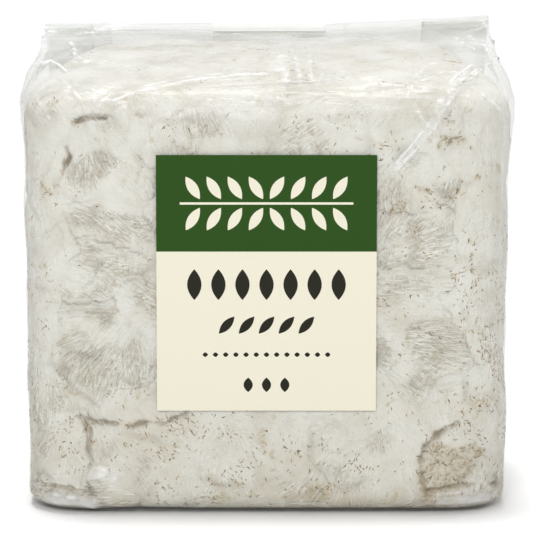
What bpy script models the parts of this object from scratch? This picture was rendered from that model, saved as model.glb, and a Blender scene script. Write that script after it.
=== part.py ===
"""Shiitake grow block: sawdust grown through with mycelium, shut in a clear gusseted grow bag.

Frame: +Z up, the label faces -Y, and +X is to the right seen from the front. The origin is at the
middle of the base. All sizes are in metres.

The block and the bag are lofted from rings. A ring is a rounded rectangle near the base. Above the
block it is pressed flat between the bag's front and back panels, with the side gussets folded in.
The bag's rings then run up into the top fold, over it, and down the back as the flap, whose end is
the bag's open mouth.
"""

import math
from dataclasses import dataclass

import bmesh
import bpy
from mathutils import Vector, noise

# The bag, filled
BAG_HALF_WIDTH = 0.0990
BAG_HALF_DEPTH = 0.0635
FOOT_HALF_WIDTH = 0.0980
CORNER_RADIUS = 0.024
BASE_RADIUS = 0.009
WALL_TOP = 0.1545
FILM = 0.0003
FILM_GAP = 0.0006
BASE_GAP = 0.0004

# The top fold, with two panels and the pressed gussets between them
FOLD_HALF_WIDTH = 0.0945
FOLD_HALF_THICKNESS = 0.0015
EDGE_RADIUS = 0.0005
EDGE_SHARE = 3 / 14
GUSSET_DEPTH = 0.030
FOLD_BASE = (0.0432, 0.1850)
FOLD_LEAN = math.radians(15)
FOLD_HEIGHT = 0.001
RIDGE_RADIUS = 0.003
FLAP_SLOPE = math.radians(142)
SLOPE_LENGTH = 0.022
BEND_RADIUS = 0.015
PATCH_FOOT = 0.006
FLAP_DROP = 0.044
RIDGE_RISE = 0.003

# The label and the breather patch
LABEL_WIDTH = 0.0860
LABEL_HEIGHT = 0.1008
LABEL_BOTTOM = 0.0423
LABEL_BAND = 0.0378
PAPER = 0.0003
PAPER_GAP = 0.0003
PATCH_WIDTH = 0.0480
PATCH_CENTRE_X = 0.001

# Swellings of the grown surface
LOBE_SIZE = 0.036
VALLEY_DEPTH = 0.0019
VALLEY_SHARE = 0.45
SWELL_SIZE = 0.055
SWELL_DEPTH = 0.0014
FLAT_MARGIN = 0.004
FLAT_FADE = 0.014
BASE_FADE = (0.004, 0.022)
CROWN_FADE = (0.176, 0.183)
CROWN_EVENNESS = 0.65
TUCK_HEIGHT = 0.0105
TUCK_WIDTH = 0.0045
TUCK_DEPTH = 0.0016
TUCK_REACH = (0.060, 0.085)

# Mesh density
LONG_POINTS = 13
END_POINTS = 15
WALL_RINGS = 13
BASE_STEPS = 3
RIDGE_STEPS = 6
BEND_STEPS = 2

# Height, front, back, half width and pinch of the rings where the film leaves the block's
# shoulders and closes towards the top fold. Pinch is 0 for a rounded end and 1 for a folded one.
TENT = (
    (0.1620, -0.0620, 0.0627, 0.0987, 0.00),
    (0.1672, -0.0575, 0.0610, 0.0982, 0.06),
    (0.1712, -0.0500, 0.0580, 0.0976, 0.14),
    (0.1757, -0.0355, 0.0545, 0.0968, 0.28),
    (0.1806, -0.0140, 0.0510, 0.0960, 0.50),
    (0.1843, 0.0150, 0.0480, 0.0951, 0.80),
)

# Height, front, back and half width of the rings of the block's own rounded top
CROWN = (
    (0.1620, -0.0620, 0.0620, 0.0980),
    (0.1672, -0.0575, 0.0595, 0.0955),
    (0.1712, -0.0500, 0.0560, 0.0915),
    (0.1757, -0.0355, 0.0515, 0.0850),
    (0.1803, -0.0140, 0.0470, 0.0770),
    (0.1828, 0.0030, 0.0435, 0.0680),
    (0.1842, 0.0190, 0.0400, 0.0560),
)

MATERIALS = {
    "mycelium": ((0.84, 0.82, 0.77), 0.85, 1.0),
    "film": ((0.90, 0.91, 0.90), 0.12, 0.25),
    "label_cream": ((0.86, 0.83, 0.68), 0.45, 1.0),
    "label_green": ((0.030, 0.085, 0.014), 0.40, 1.0),
    "filter": ((0.90, 0.90, 0.88), 0.70, 1.0),
}


@dataclass
class Station:
    """One ring of a loft: its centre, its half sizes, and how far it is pressed and tilted."""

    y: float
    z: float
    half_width: float
    half_depth: float
    corner: float = CORNER_RADIUS
    pinch: float = 0.0
    tilt: float = 0.0


def mix(a, b, share):
    """The value that lies a share of the way from a to b."""
    return a + (b - a) * share


def smooth_step(low, high, value):
    """0 below low, 1 above high, and a smooth rise between them."""
    share = min(max((value - low) / (high - low), 0.0), 1.0)
    return share * share * (3 - 2 * share)


def square_end(station, share):
    """A point of a rounded rectangle's right-hand end, from its front to its back."""
    corner = min(station.corner, station.half_depth)
    arc = math.pi * corner / 2
    straight = 2 * (station.half_depth - corner)
    along = share * (2 * arc + straight)
    centre = station.half_width - corner
    if along <= arc:
        angle = along / corner
        return centre + corner * math.sin(angle), -station.half_depth + corner * (1 - math.cos(angle))
    if along <= arc + straight:
        return station.half_width, -station.half_depth + corner + along - arc
    angle = (along - arc - straight) / corner
    return centre + corner * math.cos(angle), station.half_depth - corner * (1 - math.sin(angle))


def folded_end(station, share):
    """A point of a pressed ring's right-hand end: a creased edge, then the gusset folded inwards."""
    side = -1 if share < 0.5 else 1
    near = min(share, 1 - share)
    outer = station.half_width - EDGE_RADIUS
    if near <= EDGE_SHARE:
        angle = math.pi * near / EDGE_SHARE
        middle = station.half_depth - EDGE_RADIUS
        return outer + EDGE_RADIUS * math.sin(angle), side * (middle + EDGE_RADIUS * math.cos(angle))
    inward = (near - EDGE_SHARE) / (0.5 - EDGE_SHARE)
    slit = station.half_depth - 2 * EDGE_RADIUS
    return outer - inward * GUSSET_DEPTH, side * slit * (1 - inward)


def ring_points(station):
    """A station's points in space, anticlockwise seen from above, from the front's left end."""
    end = []
    for i in range(END_POINTS):
        share = i / (END_POINTS - 1)
        square = square_end(station, share)
        folded = folded_end(station, share)
        x = mix(square[0], folded[0], station.pinch)
        end.append((x, mix(square[1], folded[1], station.pinch)))
    reach = end[0][0]
    long_side = [reach * (2 * (i + 1) / (LONG_POINTS + 1) - 1) for i in range(LONG_POINTS)]
    flat = [(x, -station.half_depth) for x in long_side]
    flat += end
    flat += [(-x, station.half_depth) for x in long_side]
    flat += [(-x, v) for x, v in reversed(end)]
    back_y, back_z = math.cos(station.tilt), -math.sin(station.tilt)
    return [Vector((x, station.y + v * back_y, station.z + v * back_z)) for x, v in flat]


def body_stations():
    """The rings that the block and the bag share, from the base to the top of the walls."""
    stations = []
    for i in range(BASE_STEPS + 1):
        angle = math.pi / 2 * i / BASE_STEPS
        inset = BASE_RADIUS * (1 - math.sin(angle))
        z = BASE_RADIUS * (1 - math.cos(angle))
        stations.append(wall_station(z, inset))
    for i in range(1, WALL_RINGS + 1):
        stations.append(wall_station(mix(BASE_RADIUS, WALL_TOP, i / WALL_RINGS), 0.0))
    return stations


def wall_station(z, inset):
    """A ring of the upright walls, a little wider at the top than at the foot."""
    half_width = mix(FOOT_HALF_WIDTH, BAG_HALF_WIDTH, z / WALL_TOP)
    return Station(0.0, z, half_width - inset, BAG_HALF_DEPTH - inset, CORNER_RADIUS - inset)


def fold_path():
    """Centre, height and tilt of the flat rings: up the fold, over its ridge and down the back."""
    y, z = FOLD_BASE
    path = [(y, z, FOLD_LEAN)]
    y += FOLD_HEIGHT * math.sin(FOLD_LEAN)
    z += FOLD_HEIGHT * math.cos(FOLD_LEAN)
    path += turn(y, z, FOLD_LEAN, FLAP_SLOPE, RIDGE_RADIUS, RIDGE_STEPS)
    y, z, _ = path[-1]
    y += SLOPE_LENGTH * math.sin(FLAP_SLOPE)
    z += SLOPE_LENGTH * math.cos(FLAP_SLOPE)
    path += turn(y, z, FLAP_SLOPE, math.pi, BEND_RADIUS, BEND_STEPS)
    y, z, _ = path[-1]
    path.append((y, z - PATCH_FOOT, math.pi))
    path.append((y, z - FLAP_DROP, math.pi))
    return path


def turn(y, z, start, end, radius, steps):
    """Stations along a bend of the film path that starts at y, z and turns from start to end."""
    centre_y = y + radius * math.cos(start)
    centre_z = z - radius * math.sin(start)
    found = []
    for i in range(steps + 1):
        angle = mix(start, end, i / steps)
        found.append((centre_y - radius * math.cos(angle), centre_z + radius * math.sin(angle), angle))
    return found


def raise_right_end(point):
    """Lifts the top fold's right-hand end, which stands a little higher than the rest."""
    share = smooth_step(0.026, 0.090, point.x) * smooth_step(0.172, 0.184, point.z)
    return Vector((point.x, point.y, point.z + RIDGE_RISE * share))


def lobe_depth(point):
    """How far the grown surface lies below its fullest outline at a point, in metres."""
    nearest = noise.voronoi(point / LOBE_SIZE)[0]
    valley = 1 - smooth_step(0.0, VALLEY_SHARE, nearest[1] - nearest[0])
    swell = 0.5 + 0.5 * noise.noise(point / SWELL_SIZE)
    depth = VALLEY_DEPTH * valley + SWELL_DEPTH * swell
    depth *= 1 - CROWN_EVENNESS * smooth_step(*CROWN_FADE, point.z)
    return depth * label_freedom(point) * smooth_step(*BASE_FADE, point.z)


def label_freedom(point):
    """0 on the flat front where the label is stuck, and 1 away from it."""
    if point.y > 0:
        return 1.0
    away_x = abs(point.x) - LABEL_WIDTH / 2
    away_z = abs(point.z - LABEL_BOTTOM - LABEL_HEIGHT / 2) - LABEL_HEIGHT / 2
    return smooth_step(FLAT_MARGIN, FLAT_MARGIN + FLAT_FADE, max(away_x, away_z))


def corner_tuck(point):
    """Depth of the groove over each bottom corner, where the bag's corners are folded under."""
    level = math.exp(-(((point.z - TUCK_HEIGHT) / TUCK_WIDTH) ** 2))
    level *= smooth_step(0.0, TUCK_WIDTH, point.z)
    return TUCK_DEPTH * level * smooth_step(*TUCK_REACH, abs(point.x))


def sink(vertices, extra=0.0):
    """Moves vertices in along their normals by the swellings' depth and an extra distance."""
    moves = [v.normal * -(lobe_depth(v.co) + corner_tuck(v.co) + extra) for v in vertices]
    for vertex, move in zip(vertices, moves):
        vertex.co += move


def loft(mesh, rings):
    """Adds the rings' vertices and the quads between them, and closes the first ring flat."""
    made = [[mesh.verts.new(point) for point in ring] for ring in rings]
    for low, high in zip(made, made[1:]):
        for k in range(len(low)):
            after = (k + 1) % len(low)
            mesh.faces.new((low[k], low[after], high[after], high[k]))
    mesh.faces.new(list(reversed(made[0])))
    return made


def close_across(mesh, ring):
    """Closes a ring with faces that span from its front points to the back points behind them."""
    tip = LONG_POINTS + END_POINTS // 2
    half = len(ring) // 2
    back = [ring[(tip + k) % len(ring)] for k in range(half + 1)]
    front = [ring[(tip - k) % len(ring)] for k in range(half + 1)]
    for k in range(half):
        corners = dict.fromkeys((front[k], back[k], back[k + 1], front[k + 1]))
        mesh.faces.new(list(corners))


def make_block():
    """The grown sawdust block, one solid that fills the bag up to its shoulders."""
    stations = body_stations()
    for z, front, back, half_width in CROWN:
        stations.append(Station((front + back) / 2, z, half_width, (back - front) / 2))
    mesh = bmesh.new()
    made = loft(mesh, [ring_points(s) for s in stations])
    close_across(mesh, made[-1])
    mesh.normal_update()
    sink(list(mesh.verts), FILM + FILM_GAP)
    for vertex in mesh.verts:
        vertex.co.z = max(vertex.co.z, FILM + BASE_GAP)
    return finish(mesh, "mycelium_block", ["mycelium"])


def make_bag():
    """The film bag: walls, closing top, fold and flap, open at the flap's end."""
    stations = body_stations()
    walls = len(stations)
    for z, front, back, half_width, pinch in TENT:
        half_depth = (back - front) / 2
        stations.append(Station((front + back) / 2, z, half_width, half_depth, CORNER_RADIUS, pinch))
    for y, z, tilt in fold_path():
        flat = Station(y, z, FOLD_HALF_WIDTH, FOLD_HALF_THICKNESS, pinch=1.0, tilt=tilt)
        stations.append(flat)
    mesh = bmesh.new()
    made = loft(mesh, [ring_points(s) for s in stations])
    mesh.normal_update()
    sink([v for ring in made[:walls] for v in ring])
    for ring in made[walls:]:
        for vertex in ring:
            vertex.co = raise_right_end(vertex.co)
    bag = finish(mesh, "bag", ["film"])
    wall = bag.modifiers.new("film", "SOLIDIFY")
    wall.thickness = FILM
    wall.offset = -1.0
    return bag


def make_label():
    """The paper label, flat on the front, with its band above and its plain field below."""
    mesh = bmesh.new()
    bmesh.ops.create_cube(mesh, size=1.0)
    bmesh.ops.scale(mesh, vec=(LABEL_WIDTH, PAPER, LABEL_HEIGHT), verts=mesh.verts)
    middle = Vector((0.0, -BAG_HALF_DEPTH - PAPER_GAP - PAPER / 2, LABEL_BOTTOM + LABEL_HEIGHT / 2))
    bmesh.ops.translate(mesh, vec=middle, verts=mesh.verts)
    band = LABEL_BOTTOM + LABEL_HEIGHT - LABEL_BAND
    everything = mesh.verts[:] + mesh.edges[:] + mesh.faces[:]
    bmesh.ops.bisect_plane(mesh, geom=everything, plane_co=(0, 0, band), plane_no=(0, 0, 1))
    for face in mesh.faces:
        face.material_index = int(face.calc_center_median().z > band)
    return finish(mesh, "label", ["label_cream", "label_green"], smooth=False)


def make_patch():
    """The white breather patch, bent over the ridge and down the flap's outer side."""
    path = fold_path()
    stretch = path[1 : len(path) - 1]
    lift = FOLD_HALF_THICKNESS + PAPER_GAP
    mesh = bmesh.new()
    rows = []
    for y, z, tilt in stretch:
        row = []
        for side in (-1, 1):
            x = PATCH_CENTRE_X + side * PATCH_WIDTH / 2
            row.append(mesh.verts.new((x, y - lift * math.cos(tilt), z + lift * math.sin(tilt))))
        rows.append(row)
    for low, high in zip(rows, rows[1:]):
        mesh.faces.new((low[0], low[1], high[1], high[0]))
    patch = finish(mesh, "filter_patch", ["filter"], smooth=False)
    cloth = patch.modifiers.new("cloth", "SOLIDIFY")
    cloth.thickness = PAPER
    cloth.offset = 1.0
    return patch


def make_material(name):
    """A plain finish from the table of colours, roughness and see-through share."""
    colour, roughness, alpha = MATERIALS[name]
    material = bpy.data.materials.new(name)
    material.use_nodes = True
    shader = material.node_tree.nodes["Principled BSDF"]
    shader.inputs["Base Color"].default_value = (*colour, 1.0)
    shader.inputs["Roughness"].default_value = roughness
    shader.inputs["Metallic"].default_value = 0.0
    shader.inputs["Alpha"].default_value = alpha
    return material


def finish(mesh, name, materials, smooth=True):
    """Turns a bmesh into a named object with its materials."""
    data = bpy.data.meshes.new(name)
    mesh.to_mesh(data)
    mesh.free()
    if smooth:
        data.shade_smooth()
        data.set_sharp_from_angle(angle=math.radians(50))
    piece = bpy.data.objects.new(name, data)
    bpy.context.scene.collection.objects.link(piece)
    for material in materials:
        data.materials.append(make_material(material))
    return piece


def centre_on_base(pieces):
    """Parents the pieces to an empty that brings the middle of their base to the origin."""
    bpy.context.view_layer.update()
    corners = [p.matrix_world @ Vector(c) for p in pieces for c in p.bound_box]
    centre = bpy.data.objects.new("base_centre", None)
    bpy.context.scene.collection.objects.link(centre)
    for axis in (0, 1):
        values = [corner[axis] for corner in corners]
        centre.location[axis] = -(min(values) + max(values)) / 2
    for piece in pieces:
        piece.parent = centre


def main():
    """Clears the scene and builds the four pieces."""
    for old in list(bpy.data.objects):
        bpy.data.objects.remove(old)
    centre_on_base([make_block(), make_bag(), make_label(), make_patch()])


main()
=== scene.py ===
"""Looks of the shiitake grow block: a felted sawdust block in a clear gusseted bag.

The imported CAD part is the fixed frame. The block and the film are rebuilt from it as fine meshes,
fibres and bits of sawdust are laid on the block, and the label and the breather patch get their
finishes. Lengths are in metres. Places on the front that were read from the reference view are
given in its pixels and cast onto the part, so each one lies on what carries it.
"""

from __future__ import annotations

import logging
import math
from collections.abc import Sequence
from dataclasses import dataclass, field
from enum import Enum

import bmesh
import bpy
import numpy as np
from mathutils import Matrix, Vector, noise
from mathutils.bvhtree import BVHTree


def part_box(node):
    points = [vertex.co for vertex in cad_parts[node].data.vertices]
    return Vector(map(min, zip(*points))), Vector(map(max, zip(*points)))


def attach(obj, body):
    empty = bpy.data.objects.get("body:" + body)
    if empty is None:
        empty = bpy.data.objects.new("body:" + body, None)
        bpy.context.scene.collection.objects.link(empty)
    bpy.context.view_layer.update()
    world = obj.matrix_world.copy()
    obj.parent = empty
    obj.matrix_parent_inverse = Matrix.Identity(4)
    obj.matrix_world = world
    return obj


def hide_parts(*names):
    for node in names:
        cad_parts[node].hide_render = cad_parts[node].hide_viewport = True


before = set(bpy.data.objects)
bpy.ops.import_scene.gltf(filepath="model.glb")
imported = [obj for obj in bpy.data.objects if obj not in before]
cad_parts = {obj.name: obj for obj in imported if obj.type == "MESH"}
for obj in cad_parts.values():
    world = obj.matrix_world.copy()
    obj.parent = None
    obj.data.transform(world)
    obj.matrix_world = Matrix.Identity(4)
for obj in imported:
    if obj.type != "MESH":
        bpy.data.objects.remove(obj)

LOG = logging.getLogger("grow_block")
BODY = "root"
SEED = 20
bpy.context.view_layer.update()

Pixel = tuple[float, float]
Colour = tuple[float, float, float, float]
Socket = bpy.types.NodeSocket
Inputs = dict[str | int, object]

# Where a rise starts and ends, and where there are four numbers, what it gives there.
Span = tuple[float, ...]

# How large the blotches of a noise are, and which pattern they follow.
Blotches = tuple[float, float]

TINY = 1e-12
MERGE_GAP = 0.000005
QUAD_FACE_ANGLE = math.radians(60)
QUAD_SHAPE_ANGLE = math.radians(120)
FRONT_FACING = -0.5
BASE_FACING = -0.7


def smooth_step(low: float, high: float, value: np.ndarray) -> np.ndarray:
    """Rises smoothly from 0 to 1.

    Args:
        low: Where the rise starts.
        high: Where the rise ends.
        value: The values to map.

    Returns:
        One share for each value.
    """
    share = np.clip((value - low) / (high - low), 0.0, 1.0)
    return share * share * (3 - 2 * share)


def at_least(low: float, share: np.ndarray) -> np.ndarray:
    """Turns a share from 0 to 1 into one from low to 1."""
    return low + (1 - low) * share


def unit(vectors: np.ndarray) -> np.ndarray:
    """Scales each row to length 1."""
    return vectors / np.maximum(np.linalg.norm(vectors, axis=1, keepdims=True), TINY)


def noise_at(points: np.ndarray, size: float, pattern: float) -> np.ndarray:
    """Smooth noise between about -1 and 1.

    Args:
        points: Rows of places.
        size: How large one blotch is, in the units of the places.
        pattern: Moves the noise, so that two uses differ.

    Returns:
        One value for each place.
    """
    offset = Vector((pattern, -pattern, 2 * pattern))
    return np.array([noise.noise(Vector(p) / size + offset) for p in points])


def wander_at(points: np.ndarray, size: float, patterns: Span) -> np.ndarray:
    """Smooth noise along each axis, between about -1 and 1.

    Args:
        points: Rows of places.
        size: How large one blotch is.
        patterns: The pattern of each axis.

    Returns:
        One row for each place.
    """
    return np.stack([noise_at(points, size, pattern) for pattern in patterns], axis=1)


@dataclass(frozen=True)
class Patches:
    """Soft patches on a surface: their blotches, and the noise at which their edges start and end."""

    size: float
    pattern: float
    low: float
    high: float

    def share(self, points: np.ndarray) -> np.ndarray:
        """Tells how far each place is inside a patch, from 0 to 1."""
        return smooth_step(self.low, self.high, noise_at(points, self.size, self.pattern))


def above_foot(points: np.ndarray, span: Span) -> np.ndarray:
    """Rises smoothly from 0 to 1 with the height above the lowest point."""
    return smooth_step(*span, points[:, 2] - points[:, 2].min())


def away_along_normal(vectors: np.ndarray, normals: np.ndarray) -> np.ndarray:
    """Takes out of each vector the part that lies along its normal.

    Args:
        vectors: Rows to flatten onto the surface.
        normals: Unit normals of the surface.

    Returns:
        Unit rows that lie in the surface.
    """
    along = np.sum(vectors * normals, axis=1, keepdims=True)
    return unit(vectors - along * normals)


def read_rows(mesh: bpy.types.Mesh, kind: str) -> np.ndarray:
    """Reads one vector of each point of a mesh.

    Args:
        mesh: The mesh.
        kind: Which vector: co for the place and normal for the normal.

    Returns:
        One row for each point.
    """
    rows = np.empty(len(mesh.vertices) * 3)
    mesh.vertices.foreach_get(kind, rows)
    return rows.reshape(-1, 3)


def write_points(mesh: bpy.types.Mesh, points: np.ndarray) -> None:
    """Moves a mesh's points.

    Args:
        mesh: The mesh to change.
        points: One row for each point.
    """
    mesh.vertices.foreach_set("co", points.astype(np.float32).ravel())
    mesh.update()


def store(mesh: bpy.types.Mesh, name: str, values: np.ndarray) -> None:
    """Stores a number or a vector at each point, for a material to read.

    Args:
        mesh: The mesh that carries the values.
        name: What the material calls them.
        values: One number or row for each point.
    """
    kind, key = ("FLOAT", "value") if values.ndim == 1 else ("FLOAT_VECTOR", "vector")
    layer = mesh.attributes.new(name, kind, "POINT")
    layer.data.foreach_set(key, values.astype(np.float32).ravel())


def tree_of(piece: bpy.types.Object) -> BVHTree:
    """Makes a search tree of a piece's faces."""
    mesh = piece.data
    return BVHTree.FromPolygons([v.co for v in mesh.vertices], [p.vertices[:] for p in mesh.polygons])


def add_to_scene(name: str, data: bpy.types.ID) -> bpy.types.Object:
    """Makes an object of a mesh, lamp or camera and puts it in the scene.

    Args:
        name: The object's name.
        data: What the object holds.

    Returns:
        The object, at the origin.
    """
    piece = bpy.data.objects.new(name, data)
    bpy.context.scene.collection.objects.link(piece)
    return piece


def select_only(piece: bpy.types.Object) -> None:
    """Deselects everything and makes one piece active.

    Args:
        piece: The piece that the next operators act on.
    """
    bpy.ops.object.select_all(action="DESELECT")
    piece.select_set(True)
    bpy.context.view_layer.objects.active = piece


def copy_of_node(node: str, name: str) -> bpy.types.Object:
    """Copies a CAD node's mesh and joins its loose triangles into quads.

    Args:
        node: The CAD node.
        name: The new piece's name.

    Returns:
        The new piece, at the origin.
    """
    piece = add_to_scene(name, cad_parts[node].data.copy())
    select_only(piece)
    bpy.ops.object.mode_set(mode="EDIT")
    bpy.ops.mesh.select_all(action="SELECT")
    bpy.ops.mesh.remove_doubles(threshold=MERGE_GAP)
    bpy.ops.mesh.tris_convert_to_quads(face_threshold=QUAD_FACE_ANGLE, shape_threshold=QUAD_SHAPE_ANGLE)
    bpy.ops.object.mode_set(mode="OBJECT")
    piece.data.materials.clear()
    return piece


def subdivide(piece: bpy.types.Object, levels: int) -> None:
    """Smooths a piece by subdivision and keeps the result as its mesh.

    Args:
        piece: The piece.
        levels: How often each face is split in four.
    """
    select_only(piece)
    smoother = piece.modifiers.new("smoother", "SUBSURF")
    smoother.levels = levels
    smoother.render_levels = levels
    bpy.ops.object.modifier_apply(modifier=smoother.name)


def distance_to_line(points: np.ndarray, line: Sequence[Vector]) -> np.ndarray:
    """Measures how far each point is from a line of straight runs.

    Args:
        points: Rows of places.
        line: The line's corners.

    Returns:
        One distance for each point.
    """
    best = np.full(len(points), np.inf)
    for start, end in zip(line, line[1:]):
        first, run = np.array(start), np.array(end - start)
        share = np.clip((points - first) @ run / max(run @ run, TINY), 0.0, 1.0)
        best = np.minimum(best, np.linalg.norm(points - first - share[:, None] * run, axis=1))
    return best


def read_faces(mesh: bpy.types.Mesh) -> tuple[np.ndarray, np.ndarray, np.ndarray]:
    """Reads a mesh's faces.

    Args:
        mesh: The mesh.

    Returns:
        The faces' middles and normals as rows, and their areas.
    """
    middles = np.array([face.center for face in mesh.polygons])
    normals = np.array([face.normal for face in mesh.polygons])
    areas = np.array([face.area for face in mesh.polygons])
    return middles, normals, areas


def split_faces(piece: bpy.types.Object, chosen: np.ndarray, cuts: int) -> None:
    """Splits some faces of a piece, so that finer relief fits there.

    Args:
        piece: The piece.
        chosen: One truth value for each face.
        cuts: How often each edge is cut.
    """
    select_only(piece)
    bpy.ops.object.mode_set(mode="EDIT")
    bpy.ops.mesh.select_mode(type="FACE")
    bpy.ops.mesh.select_all(action="DESELECT")
    shape = bmesh.from_edit_mesh(piece.data)
    shape.faces.ensure_lookup_table()
    for index in np.flatnonzero(chosen):
        shape.faces[index].select_set(True)
    bmesh.update_edit_mesh(piece.data)
    bpy.ops.mesh.subdivide(number_cuts=cuts, quadcorner="INNERVERT")
    bpy.ops.object.mode_set(mode="OBJECT")


def near_lines(points: np.ndarray, lines: Sequence[Sequence[Vector]], reach: float) -> np.ndarray:
    """Tells which points lie near any of some lines.

    Args:
        points: Rows of places.
        lines: The lines' corners.
        reach: How far from a line a point may lie.

    Returns:
        One truth value for each point.
    """
    near = np.zeros(len(points), bool)
    for line in lines:
        near |= distance_to_line(points, line) < reach
    return near


def under_label(spots: np.ndarray, margin: float) -> np.ndarray:
    """Tells which places the label covers.

    Args:
        spots: Places on the block.
        margin: How far inside the label's edge a place has to be.

    Returns:
        One truth value for each place.
    """
    low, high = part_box("label")
    inside = (spots[:, 0] > low.x + margin) & (spots[:, 0] < high.x - margin)
    inside &= (spots[:, 2] > low.z + margin) & (spots[:, 2] < high.z - margin)
    return inside & (spots[:, 1] < 0)


def mount_piece(piece: bpy.types.Object, slot: str, *nodes: str) -> None:
    """Fixes a piece to the part and hides the CAD nodes that it replaces.

    Args:
        piece: The finished piece.
        slot: Not used.
        nodes: The CAD nodes that it replaces.
    """
    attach(piece, BODY)
    if nodes:
        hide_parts(*nodes)
    LOG.info("%s: %d faces", piece.name, len(piece.data.polygons))


class NodeSheet:
    """Adds shader nodes to a material or a node group, and joins them."""

    def __init__(self, tree: bpy.types.NodeTree) -> None:
        """Starts on a tree."""
        self.tree = tree

    def fill(self, node: bpy.types.Node, inputs: Inputs) -> bpy.types.Node:
        """Fills a node's inputs.

        Args:
            node: The node.
            inputs: Values or output sockets for its inputs, by name or number.

        Returns:
            The same node.
        """
        for key, value in inputs.items():
            if isinstance(value, Socket):
                self.tree.links.new(value, node.inputs[key])
            else:
                node.inputs[key].default_value = value
        return node

    def add(self, kind: str, inputs: Inputs | None = None, **settings: object) -> bpy.types.Node:
        """Adds a node.

        Args:
            kind: The node's type.
            inputs: Values or output sockets for its inputs, by name or number.
            settings: The node's own settings.

        Returns:
            The new node.
        """
        node = self.tree.nodes.new(kind)
        for name, value in settings.items():
            setattr(node, name, value)
        return self.fill(node, inputs or {})

    def use(self, group: bpy.types.NodeTree, inputs: Inputs) -> bpy.types.Node:
        """Places a node group and fills its inputs."""
        return self.add("ShaderNodeGroup", inputs, node_tree=group)

    def math(self, operation: str, first: object, second: object = 0.0, third: object = 0.0) -> Socket:
        """Adds a math node.

        Args:
            operation: The sum it does.
            first: Its first value or socket.
            second: Its second value or socket.
            third: Its third value or socket.

        Returns:
            The output socket.
        """
        return self.add("ShaderNodeMath", {0: first, 1: second, 2: third}, operation=operation).outputs[0]

    def times(self, first: object, second: object) -> Socket:
        """Multiplies two values or sockets."""
        return self.math("MULTIPLY", first, second)

    def noise(
        self, place: Socket, scale: object, detail: float, rough: float = 0.5, distort: float = 0.0
    ) -> Socket:
        """Adds a noise texture.

        Args:
            place: The socket with its coordinates.
            scale: Blotches per metre.
            detail: How many finer layers it has.
            rough: How strong the finer layers are.
            distort: How far the blotches are pulled about.

        Returns:
            The output socket, from 0 to 1.
        """
        inputs = {"Vector": place, "Scale": scale, "Detail": detail, "Roughness": rough}
        return self.add("ShaderNodeTexNoise", {**inputs, "Distortion": distort}).outputs["Fac"]

    def ramp(self, value: object, low: float, high: float, start: object = 0.0, end: object = 1.0) -> Socket:
        """Maps a value smoothly from one range to another.

        Args:
            value: The socket to map.
            low: Where the rise starts.
            high: Where the rise ends.
            start: The result at and below low.
            end: The result at and above high.

        Returns:
            The output socket.
        """
        inputs = {"Value": value, "From Min": low, "From Max": high, "To Min": start, "To Max": end}
        return self.add("ShaderNodeMapRange", inputs, interpolation_type="SMOOTHSTEP").outputs["Result"]

    def coats(self, base: object, *coats: tuple[object, object]) -> Socket:
        """Lays colours over a base, one after the other.

        Args:
            base: The lowest colour, or its socket.
            coats: The share from 0 to 1 and the colour of each coat, as values or sockets.

        Returns:
            The socket of the colour that results.
        """
        for share, colour in coats:
            inputs = {"Factor": share, 6: base, 7: colour}
            base = self.add("ShaderNodeMix", inputs, data_type="RGBA").outputs[2]
        return base

    def object_place(self) -> Socket:
        """Gives the place on the piece, in metres."""
        return self.add("ShaderNodeTexCoord").outputs["Object"]

    def axis(self, name: str, vector: object) -> Socket:
        """Gives one axis of a vector: X, Y or Z."""
        return self.add("ShaderNodeSeparateXYZ", {0: vector}).outputs[name]

    def stored(self, name: str, output: str = "Fac") -> Socket:
        """Reads what the mesh stores at its points, as a number or a Vector."""
        return self.add("ShaderNodeAttribute", attribute_name=name).outputs[output]

    def bump(self, height: Socket, strength: float, distance: float) -> Socket:
        """Turns a height into a normal.

        Args:
            height: The socket with the height.
            strength: How much of the bump shows.
            distance: How deep it goes, in metres.

        Returns:
            The normal's socket.
        """
        inputs = {"Height": height, "Strength": strength, "Distance": distance}
        return self.add("ShaderNodeBump", inputs).outputs["Normal"]

    def shade(self, inputs: Inputs) -> bpy.types.Node:
        """Fills the material's own Principled shader."""
        return self.fill(self.tree.nodes["Principled BSDF"], inputs)

    def show_mix(self, share: object, first: bpy.types.Node, second: bpy.types.Node) -> None:
        """Gives the material's surface a mix of two shaders.

        Args:
            share: 0 for the first shader and 1 for the second.
            first: The first shader's node.
            second: The second shader's node.
        """
        both = self.add("ShaderNodeMixShader", {0: share, 1: first.outputs[0], 2: second.outputs[0]})
        self.fill(self.tree.nodes["Material Output"], {"Surface": both.outputs[0]})


def new_material(name: str) -> tuple[bpy.types.Material, NodeSheet]:
    """Makes a material with a Principled shader.

    Args:
        name: The finish's name.

    Returns:
        The material and its node sheet.
    """
    material = bpy.data.materials.new(name)
    material.use_nodes = True
    return material, NodeSheet(material.node_tree)


def new_group(name: str, inputs: Sequence[str], outputs: Sequence[str]) -> NodeSheet:
    """Makes a shader node group that takes and gives numbers.

    Args:
        name: The effect's name.
        inputs: The name of each input.
        outputs: The name of each output.

    Returns:
        The group's node sheet, with the group's input and output nodes on it.
    """
    group = bpy.data.node_groups.new(name, "ShaderNodeTree")
    for labels, way in ((inputs, "INPUT"), (outputs, "OUTPUT")):
        for label in labels:
            group.interface.new_socket(label, in_out=way, socket_type="NodeSocketFloat")
    group.nodes.new("NodeGroupInput")
    group.nodes.new("NodeGroupOutput")
    return NodeSheet(group)


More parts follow.
